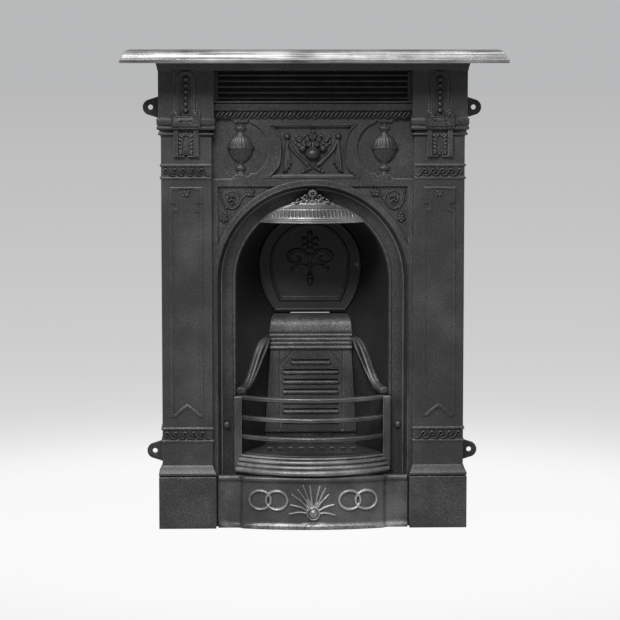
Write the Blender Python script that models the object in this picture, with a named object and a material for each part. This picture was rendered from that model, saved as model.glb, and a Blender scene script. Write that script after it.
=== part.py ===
"""A small Victorian cast-iron combination fireplace, in metres, +Z up, its front towards -Y.

Every piece is drawn from the line of the wall, y = 0, where the front casting ends: what stands proud
into the room has a negative y, and what is built into the chimney has a positive one.
"""
import math

import bmesh
import bpy
from mathutils import Vector

MM = 0.001
GAP = 0.3 * MM                  # the space left between two castings that touch
SHARP = math.radians(35)        # an edge between faces that turn more than this is drawn sharp
PLANAR = math.radians(1.5)      # faces that turn less than this become one
WELD = 0.02 * MM                # points closer than this become one

# The front casting
PILASTER_WIDTH = 100.5 * MM
SHAFT_FRONT = 60 * MM           # how far the pilaster stands in front of the wall
PLATE_FRONT = 44 * MM           # and the flat plate between the pilasters
PLATE_THICK = 14 * MM
CASTING_WALL = 8 * MM
SOLE_THICK = 10 * MM
RECESS = 6 * MM                 # depth of the sunk panels
PLINTH_HEIGHT = 105.1 * MM
BASE_HEIGHT = 23.3 * MM
LOWER_BLOCK = 47.3 * MM
BAND_HEIGHT = 30 * MM           # a running-scroll band with its two fillets
BAND_FILLET = 4.2 * MM
NECK_BLOCK = 54 * MM
PLINTH_SPREAD = 7.5 * MM
CAPITAL_SPREAD = 7 * MM
BLOCK_SPREAD = 5 * MM
FLARE_SPREAD = 9.5 * MM

# The arch and the frieze over it
SPRING_HEIGHT = 501.3 * MM      # where the arch starts to turn
ARCH_OUTER = 193 * MM
ARCH_MARGIN = 10.5 * MM         # flat plate between the arch and a pilaster
COVE_WIDTH = 32 * MM
COVE_FOOT = 8 * MM              # how far the foot of the cove stands in front of the wall
ARCH_BEAD = 6 * MM
SPANDREL_MARGIN = 11 * MM
ARCH_RAIL = 12.9 * MM           # flat rail between the arch and the frieze
FRIEZE_HEIGHT = 122 * MM
ROPE_HEIGHT = 15 * MM
FASCIA_HEIGHT = 17 * MM
LOUVRE_HEIGHT = 62 * MM
LOUVRE_BLADES = 5
TOP_FASCIA = 15 * MM
TOP_PLATE = 8 * MM

# The shelf
SHELF_WIDTH = 762 * MM
SHELF_DEPTH = 165 * MM
SHELF_THICK = 26.7 * MM
SHELF_WALL = 8 * MM
SHELF_EDGE_INSET = 22 * MM      # width of the rounded front edge
SHELF_RIB_WIDTH = 7 * MM
SHELF_RIB_AT = 250 * MM

# Lugs
LUG_RADIUS = 16 * MM
LUG_HOLE = 10.3 * MM
LUG_REACH = 21.5 * MM           # from the side of the casting to the middle of the hole
LUG_FOOT = 46 * MM
LUG_THICK = 6 * MM
LUG_HEIGHTS = (151 * MM, 850 * MM)

# The hood
HOOD_INSET = 1 * MM             # from the edge of the cove
HOOD_LIP_RISE = 117.3 * MM      # from the spring of the arch to the lip
HOOD_REACH = 40 * MM            # how far its lip bows out
HOOD_LIP = 8 * MM
HOOD_THICK = 4 * MM
HOOD_FLUTES = 15
CREST_HALF = 43 * MM
CREST_HEIGHT = 30 * MM

# The casing, the flap and the throat behind the arch
CASING_DEPTH = 146 * MM         # from the wall to the hinge of the flap
CASING_WALL = 6 * MM
FLANGE_WIDTH = 29 * MM
FLAP_LEAN = math.radians(4)
FLAP_HALF = 108.5 * MM
FLAP_LIFT = 16.2 * MM           # its widest line, over the spring of the arch
FLAP_HINGE_DROP = 95.5 * MM     # from that line down to the hinge
FLAP_LOWER_DROP = 133 * MM      # half height of the ellipse under that line
FLAP_FRAME_HALF = 81 * MM
FLAP_FRAME_DROP = 121 * MM
FLAP_THICK = 6 * MM
FLAP_CLEARANCE = 1.5 * MM
FLAP_PIN = 5 * MM
FLAP_FOOT_DROP = 3.5 * MM       # from the hinge down to the foot of the flap
FLAP_REBATE = 9 * MM            # width of the ledge behind the edge of the flap
FLAP_SEAT = 1.2 * MM            # the play between the shut flap and that ledge
SILL_DROP = 5.8 * MM            # from the hinge down to the bar across the casing
SILL_HEIGHT = 9 * MM
SILL_GAP_HALF = 41 * MM         # half the width of the slit left open over it

# The fire
GRATE_HEIGHT = 146 * MM
GRATE_THICK = 9 * MM
GRATE_SLOTS = 9
GRATE_SLOT_PITCH = 21.6 * MM
GRATE_SLOT_WIDTH = 11 * MM
GRATE_SLOT_LENGTH = 55 * MM
FIREBACK_FRONT = 90 * MM
FIREBACK_DROP = 4 * MM          # from the hinge of the flap down to the top of the fireback
FIREBACK_THICK = 9 * MM
FIREBACK_HALF_TOP = 84 * MM
FIREBACK_HALF_BOTTOM = 95 * MM
FIREBACK_DOME = 29 * MM
FIREBACK_REEDS = 5
FIREBACK_REED_ZONE = 42 * MM
FIREBACK_SLOTS = 7
CHEEK_THICK = 8 * MM
CHEEK_OVER_POST = 12 * MM
CHEEK_OVER_REEDS = 25 * MM      # its back end, over the lowest reed of the fireback
CHEEK_INSET = 12 * MM           # from the outer side of the post to the plate
RAIL_WIDTH = 19 * MM

# The bars
POST_LAP = 3.5 * MM             # how far a post laps over the edge of the opening
POST_WIDTH = 14.3 * MM
POST_TOP = 264 * MM
POST_FOOT = 112 * MM
POST_DEPTH = 12 * MM
BAR_REACH = 56 * MM             # how far the bars bow out from the posts
BAR_HEIGHT = 10.5 * MM
BAR_THICK = 9 * MM
BAR_HEIGHTS = (180.5 * MM, 219.5 * MM, 260.5 * MM)
SKIRT_TOP = 144 * MM
SKIRT_FOOT = 109.5 * MM
SKIRT_SPREAD = 14 * MM

# The ash cover
ASH_HEIGHT = 107 * MM
ASH_PLAY = 4 * MM               # at each end, between the plinths
ASH_FLAT = 41 * MM              # flat return at each end
ASH_STEP = 12 * MM
ASH_FRONT = 52 * MM             # distance of the flat ends from the wall
ASH_REACH = 20 * MM             # how far the middle bows beyond the step
ASH_THICK = 5 * MM
ASH_LIP = 6 * MM

# Bolts
BOLT_INSET = 13.8 * MM          # from the inner edge of the cove
BOLT_HEIGHT = 204.4 * MM
BOLT_HEAD = 6.8 * MM
BOLT_SHANK = 4 * MM

# Worked out from the sizes above
BODY_INNER = ARCH_OUTER + ARCH_MARGIN
BODY_HALF = BODY_INNER + PILASTER_WIDTH     # from the middle to the outer side of a pilaster
COVE_INNER = ARCH_OUTER - COVE_WIDTH
OPENING_HALF = COVE_INNER - ARCH_BEAD
SPANDREL_RADIUS = ARCH_OUTER + SPANDREL_MARGIN
HOOD_RADIUS = COVE_INNER - HOOD_INSET
HOOD_LIP_HEIGHT = SPRING_HEIGHT + HOOD_LIP_RISE
FLANGE_OUTER = OPENING_HALF + FLANGE_WIDTH
FLAP_WIDEST = SPRING_HEIGHT + FLAP_LIFT
FLAP_HINGE_HEIGHT = FLAP_WIDEST - FLAP_HINGE_DROP
FLAP_FOOT = FLAP_HINGE_HEIGHT - FLAP_FOOT_DROP
SILL_TOP = FLAP_HINGE_HEIGHT - SILL_DROP
FIREBACK_TOP = FLAP_HINGE_HEIGHT - FIREBACK_DROP
REEDS_BOTTOM = FIREBACK_TOP - FIREBACK_DOME - FIREBACK_REED_ZONE
CHEEK_FRONT_HEIGHT = POST_TOP + CHEEK_OVER_POST
CHEEK_BACK_HEIGHT = REEDS_BOTTOM + CHEEK_OVER_REEDS
POST_OUTER = OPENING_HALF + POST_LAP
ASH_HALF = BODY_INNER - PLINTH_SPREAD - ASH_PLAY
BOLT_X = COVE_INNER + BOLT_INSET
ARCH_TOP = SPRING_HEIGHT + ARCH_OUTER
FRIEZE_BOTTOM = ARCH_TOP + ARCH_RAIL
FRIEZE_TOP = FRIEZE_BOTTOM + FRIEZE_HEIGHT
ROPE_TOP = FRIEZE_TOP + ROPE_HEIGHT
FASCIA_TOP = ROPE_TOP + FASCIA_HEIGHT
LOUVRE_TOP = FASCIA_TOP + LOUVRE_HEIGHT
BODY_TOP = LOUVRE_TOP + TOP_FASCIA
SHELF_BOTTOM = BODY_TOP + GAP
SHAFT_BOTTOM = PLINTH_HEIGHT + BASE_HEIGHT + LOWER_BLOCK + BAND_HEIGHT
SHAFT_TOP = FRIEZE_BOTTOM
CAPITAL_BOTTOM = SHAFT_TOP + BAND_HEIGHT + NECK_BLOCK
CAPITAL_HEIGHT = FRIEZE_TOP - CAPITAL_BOTTOM
PILASTER_X = (BODY_HALF + BODY_INNER) / 2
PLATE_BACK = PLATE_FRONT - PLATE_THICK
FIELD = PLATE_FRONT - RECESS    # distance of a sunk field from the wall
FLAP_RISE = FLAP_WIDEST + FLAP_HALF + FLAP_CLEARANCE - FLAP_HINGE_HEIGHT
REAR = CASING_DEPTH + FLAP_RISE * math.tan(FLAP_LEAN) + FLAP_THICK + FLAP_SEAT + CASING_WALL
WALL_LINE_Y = (SHELF_DEPTH - REAR) / 2   # so that the piece stands centred on the origin


def material(name, colour, roughness, metallic):
    made = bpy.data.materials.new(name)
    made.use_nodes = True
    shader = made.node_tree.nodes["Principled BSDF"]
    shader.inputs["Base Color"].default_value = (*colour, 1)
    shader.inputs["Roughness"].default_value = roughness
    shader.inputs["Metallic"].default_value = metallic
    made.diffuse_color = (*colour, 1)
    return made


def smooth_path(points, steps):
    """A Catmull-Rom curve through the points, with this many steps between two of them."""
    ends = [points[0], *points, points[-1]]
    path = []
    for i in range(len(points) - 1):
        a, b, c, d = (Vector(p) for p in ends[i:i + 4])
        for step in range(steps):
            t = step / steps
            path.append(0.5 * (2 * b + (c - a) * t + (2 * a - 5 * b + 4 * c - d) * t * t
                               + (3 * b - a - 3 * c + d) * t ** 3))
    path.append(Vector(points[-1]))
    return path


def arc(centre, radius, start, end, steps, drop=None):
    """Points (x, z) of an arc from one angle to another, in degrees, or of an ellipse of half height drop."""
    drop = radius if drop is None else drop
    turns = [math.radians(start + (end - start) * i / steps) for i in range(steps + 1)]
    return [(centre[0] + radius * math.cos(t), centre[1] + drop * math.sin(t)) for t in turns]


def mirrored(points):
    return [(-x, z) for x, z in reversed(points)]


DOME = ((1, -0.25), (0.8, 0.68), (0.28, 1))     # a rounded boss
STUD = ((1, -0.25), (0.5, 1))                   # a small one, drawn as a blunt cone
RIDGE = ((-0.5, -0.3), (0, 1), (0.5, -0.3))     # the section of a thin raised line


class Casting:
    """One piece: a closed base, shapes joined to it, shapes cut out of it, and relief joined on after that."""

    def __init__(self, name, finish, parent, origin=(0, 0, 0), lean=0.0, solver="EXACT"):
        self.name = name
        self.solver = solver
        self.lean = lean
        self.finish = finish
        self.parent = parent
        self.origin = Vector(origin)
        self.base = None
        self.helpers = {"added": [], "cut": [], "carved": []}

    def put(self, bm, stage="added"):
        bmesh.ops.recalc_face_normals(bm, faces=bm.faces)
        mesh = bpy.data.meshes.new(self.name)
        bm.to_mesh(mesh)
        bm.free()
        mesh.shade_smooth()
        mesh.set_sharp_from_angle(angle=SHARP)
        if self.base is None:
            self.base = bpy.data.objects.new(self.name, mesh)
            mesh.materials.append(self.finish)
            target = self.base
        else:
            target = bpy.data.objects.new(f"{self.name}_{stage}", mesh)
            target.hide_render = True
            target.display_type = "WIRE"
            self.helpers[stage].append(target)
        target.parent = self.parent
        target.location = self.origin
        target.rotation_euler.x = self.lean
        return target

    def done(self):
        """Links the piece and its helpers, and joins or cuts them by one Boolean for each stage."""
        scene = bpy.context.scene.collection
        scene.objects.link(self.base)
        for stage, shapes in self.helpers.items():
            if not shapes:
                continue
            group = bpy.data.collections.new(f"{self.name}_{stage}")
            scene.children.link(group)
            for shape in shapes:
                group.objects.link(shape)
            modifier = self.base.modifiers.new(stage.title(), "BOOLEAN")
            modifier.operand_type = "COLLECTION"
            modifier.collection = group
            modifier.operation = "DIFFERENCE" if stage == "cut" else "UNION"
            modifier.solver = self.solver
        weld = self.base.modifiers.new("Weld", "WELD")
        weld.merge_threshold = WELD
        planar = self.base.modifiers.new("Planar", "DECIMATE")
        planar.decimate_type = "DISSOLVE"
        planar.angle_limit = PLANAR
        self.base.modifiers.new("Triangulate", "TRIANGULATE")
        return self.base

    # Shapes

    def prism(self, outline, front, back, stage="added"):
        """The outline (x, z), carried from y = -front back to y = -back."""
        bm = bmesh.new()
        face = bm.faces.new([bm.verts.new((x, -front, z)) for x, z in outline])
        solid = bmesh.ops.extrude_face_region(bm, geom=[face])
        moved = [v for v in solid["geom"] if isinstance(v, bmesh.types.BMVert)]
        bmesh.ops.translate(bm, verts=moved, vec=(0, front - back, 0))
        return self.put(bm, stage)

    def box(self, low, high, stage="added"):
        (x0, y0, z0), (x1, y1, z1) = low, high
        return self.prism([(x0, z0), (x1, z0), (x1, z1), (x0, z1)], -y0, -y1, stage)

    def bar(self, profile, left, right, stage="added"):
        """The profile (distance in front of the wall, z), carried from left to right."""
        bm = bmesh.new()
        face = bm.faces.new([bm.verts.new((left, -out, z)) for out, z in profile])
        solid = bmesh.ops.extrude_face_region(bm, geom=[face])
        moved = [v for v in solid["geom"] if isinstance(v, bmesh.types.BMVert)]
        bmesh.ops.translate(bm, verts=moved, vec=(right - left, 0, 0))
        return self.put(bm, stage)

    def loft(self, rings, closed=False, stage="added"):
        """Joins rings of points, each a closed loop, one to the next; closed joins the last to the first."""
        bm = bmesh.new()
        made = [[bm.verts.new(p) for p in ring] for ring in rings]
        pairs = list(zip(made, made[1:] + made[:1])) if closed else list(zip(made, made[1:]))
        for one, other in pairs:
            for i in range(len(one)):
                j = (i + 1) % len(one)
                bm.faces.new((one[i], one[j], other[j], other[i]))
        if not closed:
            bm.faces.new(made[0])
            bm.faces.new(made[-1])
        return self.put(bm, stage)

    def stack(self, left, right, front, levels, back=0, stage="added"):
        """A block with mouldings round its front and sides: levels are (z, spread)."""
        rings = []
        for z, spread in levels:
            y = -(front + spread)
            rings.append([(left - spread, back, z), (left - spread, y, z),
                          (right + spread, y, z), (right + spread, back, z)])
        return self.loft(rings, stage=stage)

    def ribbon(self, path, width, height, surface, closed=False, taper=None, section=None):
        """A raised band along the path (x, z) on a surface, which gives the distance from the wall."""
        section = section or ((-0.5, -0.4), (-0.3, 1), (0.3, 1), (0.5, -0.4))
        path = [Vector(p) for p in path]
        count = len(path)
        rings = []
        for i, point in enumerate(path):
            before = path[i - 1] if closed or i else path[i]
            after = path[(i + 1) % count] if closed or i < count - 1 else path[i]
            arriving = (point - before).normalized() if point != before else (after - point).normalized()
            leaving = (after - point).normalized() if after != point else arriving
            along = (arriving + leaving).normalized()
            across = Vector((-along.y, along.x)) / max(0.5, along.dot(leaving))
            size = taper(i / (count - 1)) if taper else 1
            ring = []
            for offset, rise in section:
                x, z = point + across * offset * width * size
                ring.append((x, -(surface(x, z) + rise * height * (size if rise > 0 else 1)), z))
            rings.append(ring)
        return self.loft(rings, closed=closed, stage="carved")

    def lump(self, centre, radii, surface, sides=6, rings=DOME):
        """A rounded boss (x, z) on a surface. Its rings are (share of the radius, share of the height)."""
        x0, z0 = centre
        ground = surface(x0, z0)
        turns = [2 * math.pi * i / sides for i in range(sides)]
        return self.loft([[(x0 + radii[0] * size * math.cos(t), -(ground + radii[1] * rise),
                            z0 + radii[2] * size * math.sin(t)) for t in turns] for size, rise in rings],
                         stage="carved")

    def turned(self, x0, profile, surface, depth, sides=5):
        """The front half of an upright turned shape: profile is (radius, z), flattened to depth times radius."""
        sunk = 25
        turns = [math.radians(-sunk + (180 + 2 * sunk) * i / sides) for i in range(sides + 1)]
        rings = []
        for radius, z in profile:
            rings.append([(x0 + radius * math.cos(t), -(surface + depth * radius * math.sin(t)), z)
                          for t in turns])
        return self.loft(rings, stage="carved")


def flat(distance):
    return lambda x, z: distance


# The front casting

def arch_path(radius, steps=16, foot=0.0):
    """Points (x, z) up the left side, over the arch and down the right side."""
    over = arc((0, SPRING_HEIGHT), radius, 180, 0, steps)
    return [(-radius, foot), *over, (radius, foot)]


def cove_out(radius):
    """How far the cove stands in front of the wall at this distance from the middle of the arch."""
    share = min(1, max(0, (radius - COVE_INNER) / (ARCH_OUTER - COVE_INNER)))
    return PLATE_FRONT - (PLATE_FRONT - COVE_FOOT) * math.sqrt(1 - share * share)


def cove_profile():
    """The section of the arch moulding (distance from the middle, distance in front of the wall)."""
    bead = COVE_INNER - OPENING_HALF
    front = [(ARCH_OUTER + 4 * MM, PLATE_FRONT), (ARCH_OUTER, PLATE_FRONT)]
    for turn in (20, 45, 70, 90):
        t = math.radians(turn)
        front.append((COVE_INNER + (ARCH_OUTER - COVE_INNER) * math.cos(t),
                      PLATE_FRONT - (PLATE_FRONT - COVE_FOOT) * math.sin(t)))
    front += [(COVE_INNER - bead * 0.5, COVE_FOOT + 3 * MM), (OPENING_HALF, COVE_FOOT), (OPENING_HALF, 0)]
    return front + [(FLANGE_OUTER + 2 * MM, 0), (ARCH_OUTER + 4 * MM, PLATE_BACK)]


def add_arch(casting):
    rings = []
    path = arch_path(1.0)
    for i, (x, z) in enumerate(path):
        if i in (0, len(path) - 1):
            side = math.copysign(1, x)
            rings.append([(side * r, -out, 0.0) for r, out in cove_profile()])
        else:
            rings.append([(x * r, -out, SPRING_HEIGHT + (z - SPRING_HEIGHT) * r) for r, out in cove_profile()])
    casting.loft(rings)


def pilaster_levels():
    """The outline of a pilaster from the floor to the shelf, as (z, spread)."""
    base = PLINTH_HEIGHT
    reed = BASE_HEIGHT / 5
    band = base + BASE_HEIGHT + LOWER_BLOCK
    cap = CAPITAL_BOTTOM
    part = CAPITAL_HEIGHT / 40
    levels = [(0, PLINTH_SPREAD), (base, PLINTH_SPREAD), (base + MM, PLINTH_SPREAD - 4 * MM),
              (base + 0.6 * reed, PLINTH_SPREAD - 4 * MM), (base + 0.8 * reed, PLINTH_SPREAD),
              (base + 1.7 * reed, PLINTH_SPREAD), (base + 2.1 * reed, PLINTH_SPREAD - 2 * MM),
              (base + 2.9 * reed, PLINTH_SPREAD - 2.6 * MM), (base + 3.3 * reed, 3 * MM),
              (base + 4.4 * reed, 2.2 * MM), (base + 5 * reed, 0)]
    for bottom in (band, SHAFT_TOP):
        top = bottom + BAND_HEIGHT
        levels += [(bottom, 0), (bottom + 0.5 * MM, 2.4 * MM), (bottom + BAND_FILLET, 2.4 * MM),
                   (bottom + BAND_FILLET + 0.5 * MM, 0), (top - BAND_FILLET - 0.5 * MM, 0),
                   (top - BAND_FILLET, 2.4 * MM), (top - 0.5 * MM, 2.4 * MM), (top, 0)]
    levels += [(cap, 0), (cap + 7 * part, 1.8 * MM), (cap + 8 * part, 4 * MM), (cap + 11.5 * part, 4 * MM),
               (cap + 12.5 * part, 2.2 * MM), (cap + 19 * part, CAPITAL_SPREAD - MM),
               (cap + 20 * part, CAPITAL_SPREAD), (cap + 24 * part, CAPITAL_SPREAD),
               (cap + 24.6 * part, CAPITAL_SPREAD - 1.6 * MM), (cap + 25.4 * part, CAPITAL_SPREAD - 1.6 * MM),
               (cap + 26 * part, CAPITAL_SPREAD), (FRIEZE_TOP, CAPITAL_SPREAD),
               (FRIEZE_TOP + 0.5 * MM, BLOCK_SPREAD), (LOUVRE_TOP + 2 * MM, BLOCK_SPREAD)]
    return levels


def add_pilasters(casting):
    for side in (-1, 1):
        left, right = sorted((side * BODY_INNER, side * BODY_HALF))
        casting.stack(left, right, SHAFT_FRONT, pilaster_levels())
        wall = CASTING_WALL
        casting.box((left + wall, -(SHAFT_FRONT - wall), SOLE_THICK),
                    (right - wall, MM, BODY_TOP - TOP_PLATE), stage="cut")


def add_top(casting):
    """The flat top under the shelf, with its small flare, over the whole width."""
    levels = [(LOUVRE_TOP, BLOCK_SPREAD + MM), (LOUVRE_TOP + 5 * MM, BLOCK_SPREAD + 1.5 * MM),
              (BODY_TOP - 3 * MM, FLARE_SPREAD - MM), (BODY_TOP, FLARE_SPREAD)]
    casting.stack(-BODY_HALF, BODY_HALF, SHAFT_FRONT, levels)
    inner = BODY_INNER - CASTING_WALL
    casting.box((-inner, -(PLATE_BACK - MM), LOUVRE_TOP - MM), (inner, MM, BODY_TOP - TOP_PLATE), stage="cut")


def add_frieze_mouldings(casting):
    """The louvres, the fascia and the ground of the rope band, as one long moulding."""
    blade = (LOUVRE_TOP - FASCIA_TOP - 4 * MM) / LOUVRE_BLADES
    foot = FASCIA_TOP
    profile = [(PLATE_BACK, FRIEZE_TOP - 6 * MM), (PLATE_FRONT, FRIEZE_TOP - 6 * MM),
               (PLATE_FRONT, FRIEZE_TOP), (PLATE_FRONT + 3 * MM, FRIEZE_TOP + MM),
               (PLATE_FRONT + 3 * MM, ROPE_TOP - MM), (PLATE_FRONT + 6 * MM, ROPE_TOP),
               (PLATE_FRONT + 6 * MM, foot - 5 * MM), (PLATE_FRONT + 3 * MM, foot - 4.5 * MM),
               (PLATE_FRONT + 3 * MM, foot - 2 * MM), (PLATE_FRONT + 8 * MM, foot - 1.5 * MM),
               (PLATE_FRONT + 8 * MM, foot + 1.5 * MM), (PLATE_FRONT + 4 * MM, foot + 2.5 * MM)]
    for i in range(LOUVRE_BLADES):
        low = foot + 3 * MM + i * blade
        profile += [(PLATE_FRONT - 5 * MM, low), (PLATE_FRONT + 3 * MM, low + 2.2 * MM),
                    (PLATE_FRONT + 3.5 * MM, low + 4 * MM), (PLATE_FRONT - 2 * MM, low + blade - 0.6 * MM)]
    profile += [(PLATE_FRONT - 2 * MM, LOUVRE_TOP + 2 * MM), (PLATE_BACK, LOUVRE_TOP + 2 * MM)]
    reach = BODY_INNER + 2 * MM
    casting.bar(profile, -reach, reach)
    inner = BODY_INNER - BLOCK_SPREAD
    for side in (-1, 1):
        left, right = sorted((side * (inner - 6.5 * MM), side * (inner + MM)))
        casting.stack(left, right, PLATE_FRONT + 4 * MM,
                      [(foot - MM, 0), (foot, 2 * MM), (LOUVRE_TOP - 2 * MM, 2 * MM), (LOUVRE_TOP, 0)],
                      back=-PLATE_BACK)


def add_rope(casting):
    """The twisted band under the fascia: slanting strands side by side."""
    reach = BODY_INNER - BLOCK_SPREAD - 3 * MM
    count = 24
    pitch = 2 * reach / count
    middle = (FRIEZE_TOP + ROPE_TOP) / 2 - MM
    lean = pitch * 0.5
    tall = ROPE_HEIGHT * 0.3
    for i in range(count):
        x = -reach + (i + 0.5) * pitch
        casting.ribbon([(x - lean, middle - tall), (x + lean, middle + tall)], pitch * 0.8, 3.4 * MM,
                       flat(PLATE_FRONT + 3 * MM), section=RIDGE)


def urn_recess():
    """Outline of the left sunk panel behind the urn: a round end towards the middle and cusped brackets."""
    centre = (57.8 * MM - BODY_INNER, (FRIEZE_BOTTOM + FRIEZE_TOP) / 2 - 1.4 * MM)
    radius = 57.6 * MM
    top = FRIEZE_TOP - 0.7 * MM
    foot = FRIEZE_BOTTOM
    x0, z0 = centre
    upper = [(x0 - 20 * MM, top), (x0 - 11 * MM, top - 8.5 * MM), (x0, top - 10.5 * MM), (x0 + 13 * MM, top - 8 * MM),
             (x0 + 17 * MM, top - 3.5 * MM), (x0 + 20.5 * MM, top - 8.5 * MM)]
    lower = [(x0 + 20.5 * MM, foot + 10 * MM), (x0 + 16 * MM, foot + 4.5 * MM), (x0 + 2 * MM, foot + 9.5 * MM),
             (x0 - 10 * MM, foot + 7.5 * MM), (x0 - 18 * MM, foot)]
    round_end = arc(centre, radius, 56, -57, 12)
    return [(-BODY_INNER, foot), (-BODY_INNER, top), *upper, *round_end, *lower]


def add_urn(casting, side):
    top = FRIEZE_TOP
    x0 = side * (BODY_INNER - 58.9 * MM)
    share = FRIEZE_HEIGHT / 122
    drops = ((3, -5.5), (5.4, -9), (3.2, -14), (10.5, -19), (11, -23.5), (5.8, -27), (5.8, -32.5), (20, -47),
             (27.3, -60), (24.5, -64), (22.5, -73), (10.5, -88), (4.8, -92), (4.8, -96), (11, -100), (11, -103.5),
             (5, -106), (8, -115))
    profile = [(radius * share, top + drop * share) for radius, drop in drops]
    casting.turned(x0, profile, FIELD, 0.42)


def panel_side(half_top, half_foot, waist, top, foot):
    """The right side of the middle panel, from top to foot: a hollow curve."""
    middle = (top + foot) / 2
    points = smooth_path([(half_top, top), (waist + 4.5 * MM, middle + (top - middle) * 0.6), (waist, middle),
                          (waist + 5.5 * MM, middle + (foot - middle) * 0.6), (half_foot, foot)], 2)
    return [(p.x, p.y) for p in points]


def add_middle_panel(casting):
    top = FRIEZE_TOP - 12 * MM
    foot = FRIEZE_BOTTOM + 2 * MM
    right = panel_side(89.8 * MM, 97.5 * MM, 67 * MM, top, foot)
    outline = [*mirrored(right), *right][::-1]
    field = panel_side(78 * MM, 84 * MM, 61.5 * MM, top - 6 * MM, foot + 6 * MM)
    casting.prism([*mirrored(field), *field], PLATE_FRONT + 20 * MM, FIELD, stage="cut")
    section = ((0, -0.4), (0.1, 0.8), (0.45, 1), (0.6, 0.4), (1, -1.2))
    casting.ribbon(outline, 7 * MM, 3.6 * MM, flat(PLATE_FRONT), closed=True, section=section)


def add_fruit(casting):
    """Drapery that hangs from two rings, with fruit and leaves heaped over it."""
    top = FRIEZE_TOP
    ground = flat(FIELD)
    for side in (-1, 1):
        ring = (side * 51 * MM, top - 36 * MM)
        casting.lump(ring, (6.4 * MM, 7 * MM, 6.4 * MM), ground, sides=6)
        swag = smooth_path([ring, (side * 42 * MM, top - 62 * MM), (side * 24 * MM, top - 84 * MM),
                            (0, top - 98 * MM)], 2)
        casting.ribbon(swag, 13 * MM, 5.5 * MM, ground, section=RIDGE,
                       taper=lambda t: 0.4 + 0.9 * math.sin(math.pi * t))
        tail = [(side * 51 * MM, top - 42 * MM), (side * 50.5 * MM, top - 70 * MM),
                (side * 49.5 * MM, top - 107 * MM)]
        casting.ribbon(tail, 16 * MM, 5 * MM, ground, section=RIDGE, taper=lambda t: 0.35 + 0.75 * t)
        knot = [(0, top - 97 * MM), (side * 12 * MM, top - 101 * MM), (side * 23 * MM, top - 108 * MM)]
        casting.ribbon(knot, 8 * MM, 4.5 * MM, ground, section=RIDGE, taper=lambda t: 0.6 + 0.5 * t)
        casting.lump((side * 19.5 * MM, top - 57 * MM), (8 * MM, 9 * MM, 8 * MM), ground)
        leaf = [(side * 9 * MM, top - 50 * MM), (side * 24 * MM, top - 36 * MM), (side * 37 * MM, top - 34 * MM)]
        casting.ribbon(leaf, 13 * MM, 6 * MM, ground, section=RIDGE,
                       taper=lambda t: 0.3 + 0.8 * math.sin(math.pi * t))
    casting.lump((1.5 * MM, top - 70 * MM), (15.5 * MM, 13 * MM, 15.5 * MM), ground, sides=9)
    crown = [(0, top - 54 * MM), (0, top - 38 * MM), (0, top - 25 * MM)]
    casting.ribbon(crown, 19 * MM, 7 * MM, ground, section=RIDGE,
                   taper=lambda t: 0.3 + 0.8 * math.sin(math.pi * t))


def spandrel_outline():
    """The left spandrel: two straight sides, and the hollow side that follows the arch."""
    top = ARCH_TOP - 2 * MM
    edge = ARCH_OUTER - 2 * MM
    lean = math.degrees(math.acos(edge / SPANDREL_RADIUS))
    start = 180 - math.degrees(math.asin((top - SPRING_HEIGHT) / SPANDREL_RADIUS))
    return [(-edge, top), *arc((0, SPRING_HEIGHT), SPANDREL_RADIUS, start, 180 - lean, 7)]


def add_spandrels(casting):
    outline = spandrel_outline()
    casting.prism(outline, PLATE_FRONT + 20 * MM, FIELD, stage="cut")
    casting.prism(mirrored(outline), PLATE_FRONT + 20 * MM, FIELD, stage="cut")
    corner = Vector((-ARCH_OUTER, ARCH_TOP))
    vine = [(9, -13), (13, -31), (24, -46), (40, -42), (49, -27), (44, -12), (33, -10), (26.5, -19)]
    branch = [(19.5, -42), (19.5, -53), (16, -62)]
    twig = [(48, -23), (57, -18), (63, -14)]
    flowers = [(34, -24, 9), (65.5, -13.5, 10), (13.5, -68, 8.5), (17.5, -60, 6.5)]
    for side in (-1, 1):
        def place(points):
            return [(-side * (corner.x + x * MM), corner.y + z * MM) for x, z in points]
        casting.ribbon(place(vine), 6 * MM, 4.4 * MM, flat(FIELD), section=RIDGE,
                       taper=lambda t: 0.55 + 0.45 * math.sin(math.pi * min(1, t * 1.2)))
        for shoot in (branch, twig):
            casting.ribbon(place(shoot), 5.5 * MM, 4 * MM, flat(FIELD), section=RIDGE)
        for x, z, size in flowers:
            (spot,) = place([(x, z)])
            casting.lump(spot, (size * MM, 5 * MM, size * MM), flat(FIELD), sides=6)


def shaft_panel(middle, inset=0.0):
    """Outline of the raised frame on a pilaster shaft: a notched head and a bracketed foot."""
    half = 32.5 * MM - inset
    head = SHAFT_TOP - 15.7 * MM - inset
    foot = SHAFT_BOTTOM + 21.3 * MM + inset
    neck = head - 33 * MM + 2 * inset
    notch = 10.5 * MM + (2 * inset if inset > 0 else 0)
    bite = half - 12 * MM
    right = [(half, head), (half, neck), (bite, neck), (bite, neck - notch), (half, neck - notch), (half, foot),
             (half * 0.66, foot + 0.8 * MM), (half * 0.45, foot + 8 * MM), (0, foot + 19 * MM)]
    left = [(-x, z) for x, z in right[-2::-1]]
    return [(middle + x, z) for x, z in right + left]


def add_shaft_panels(casting):
    for side in (-1, 1):
        middle = side * PILASTER_X
        casting.ribbon(shaft_panel(middle), 6.5 * MM, 2.4 * MM, flat(SHAFT_FRONT), closed=True,
                       section=((-1, -0.4), (-0.8, 1), (-0.08, 1), (0, -0.4)))
        heart = [(-5.5, -9), (5.5, -9), (0, -17)]
        for x, drop in heart:
            casting.lump((middle + x * MM, SHAFT_TOP - 15.7 * MM + drop * MM), (5 * MM, 3.6 * MM, 4.6 * MM),
                         flat(SHAFT_FRONT), sides=6, rings=STUD)


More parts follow.
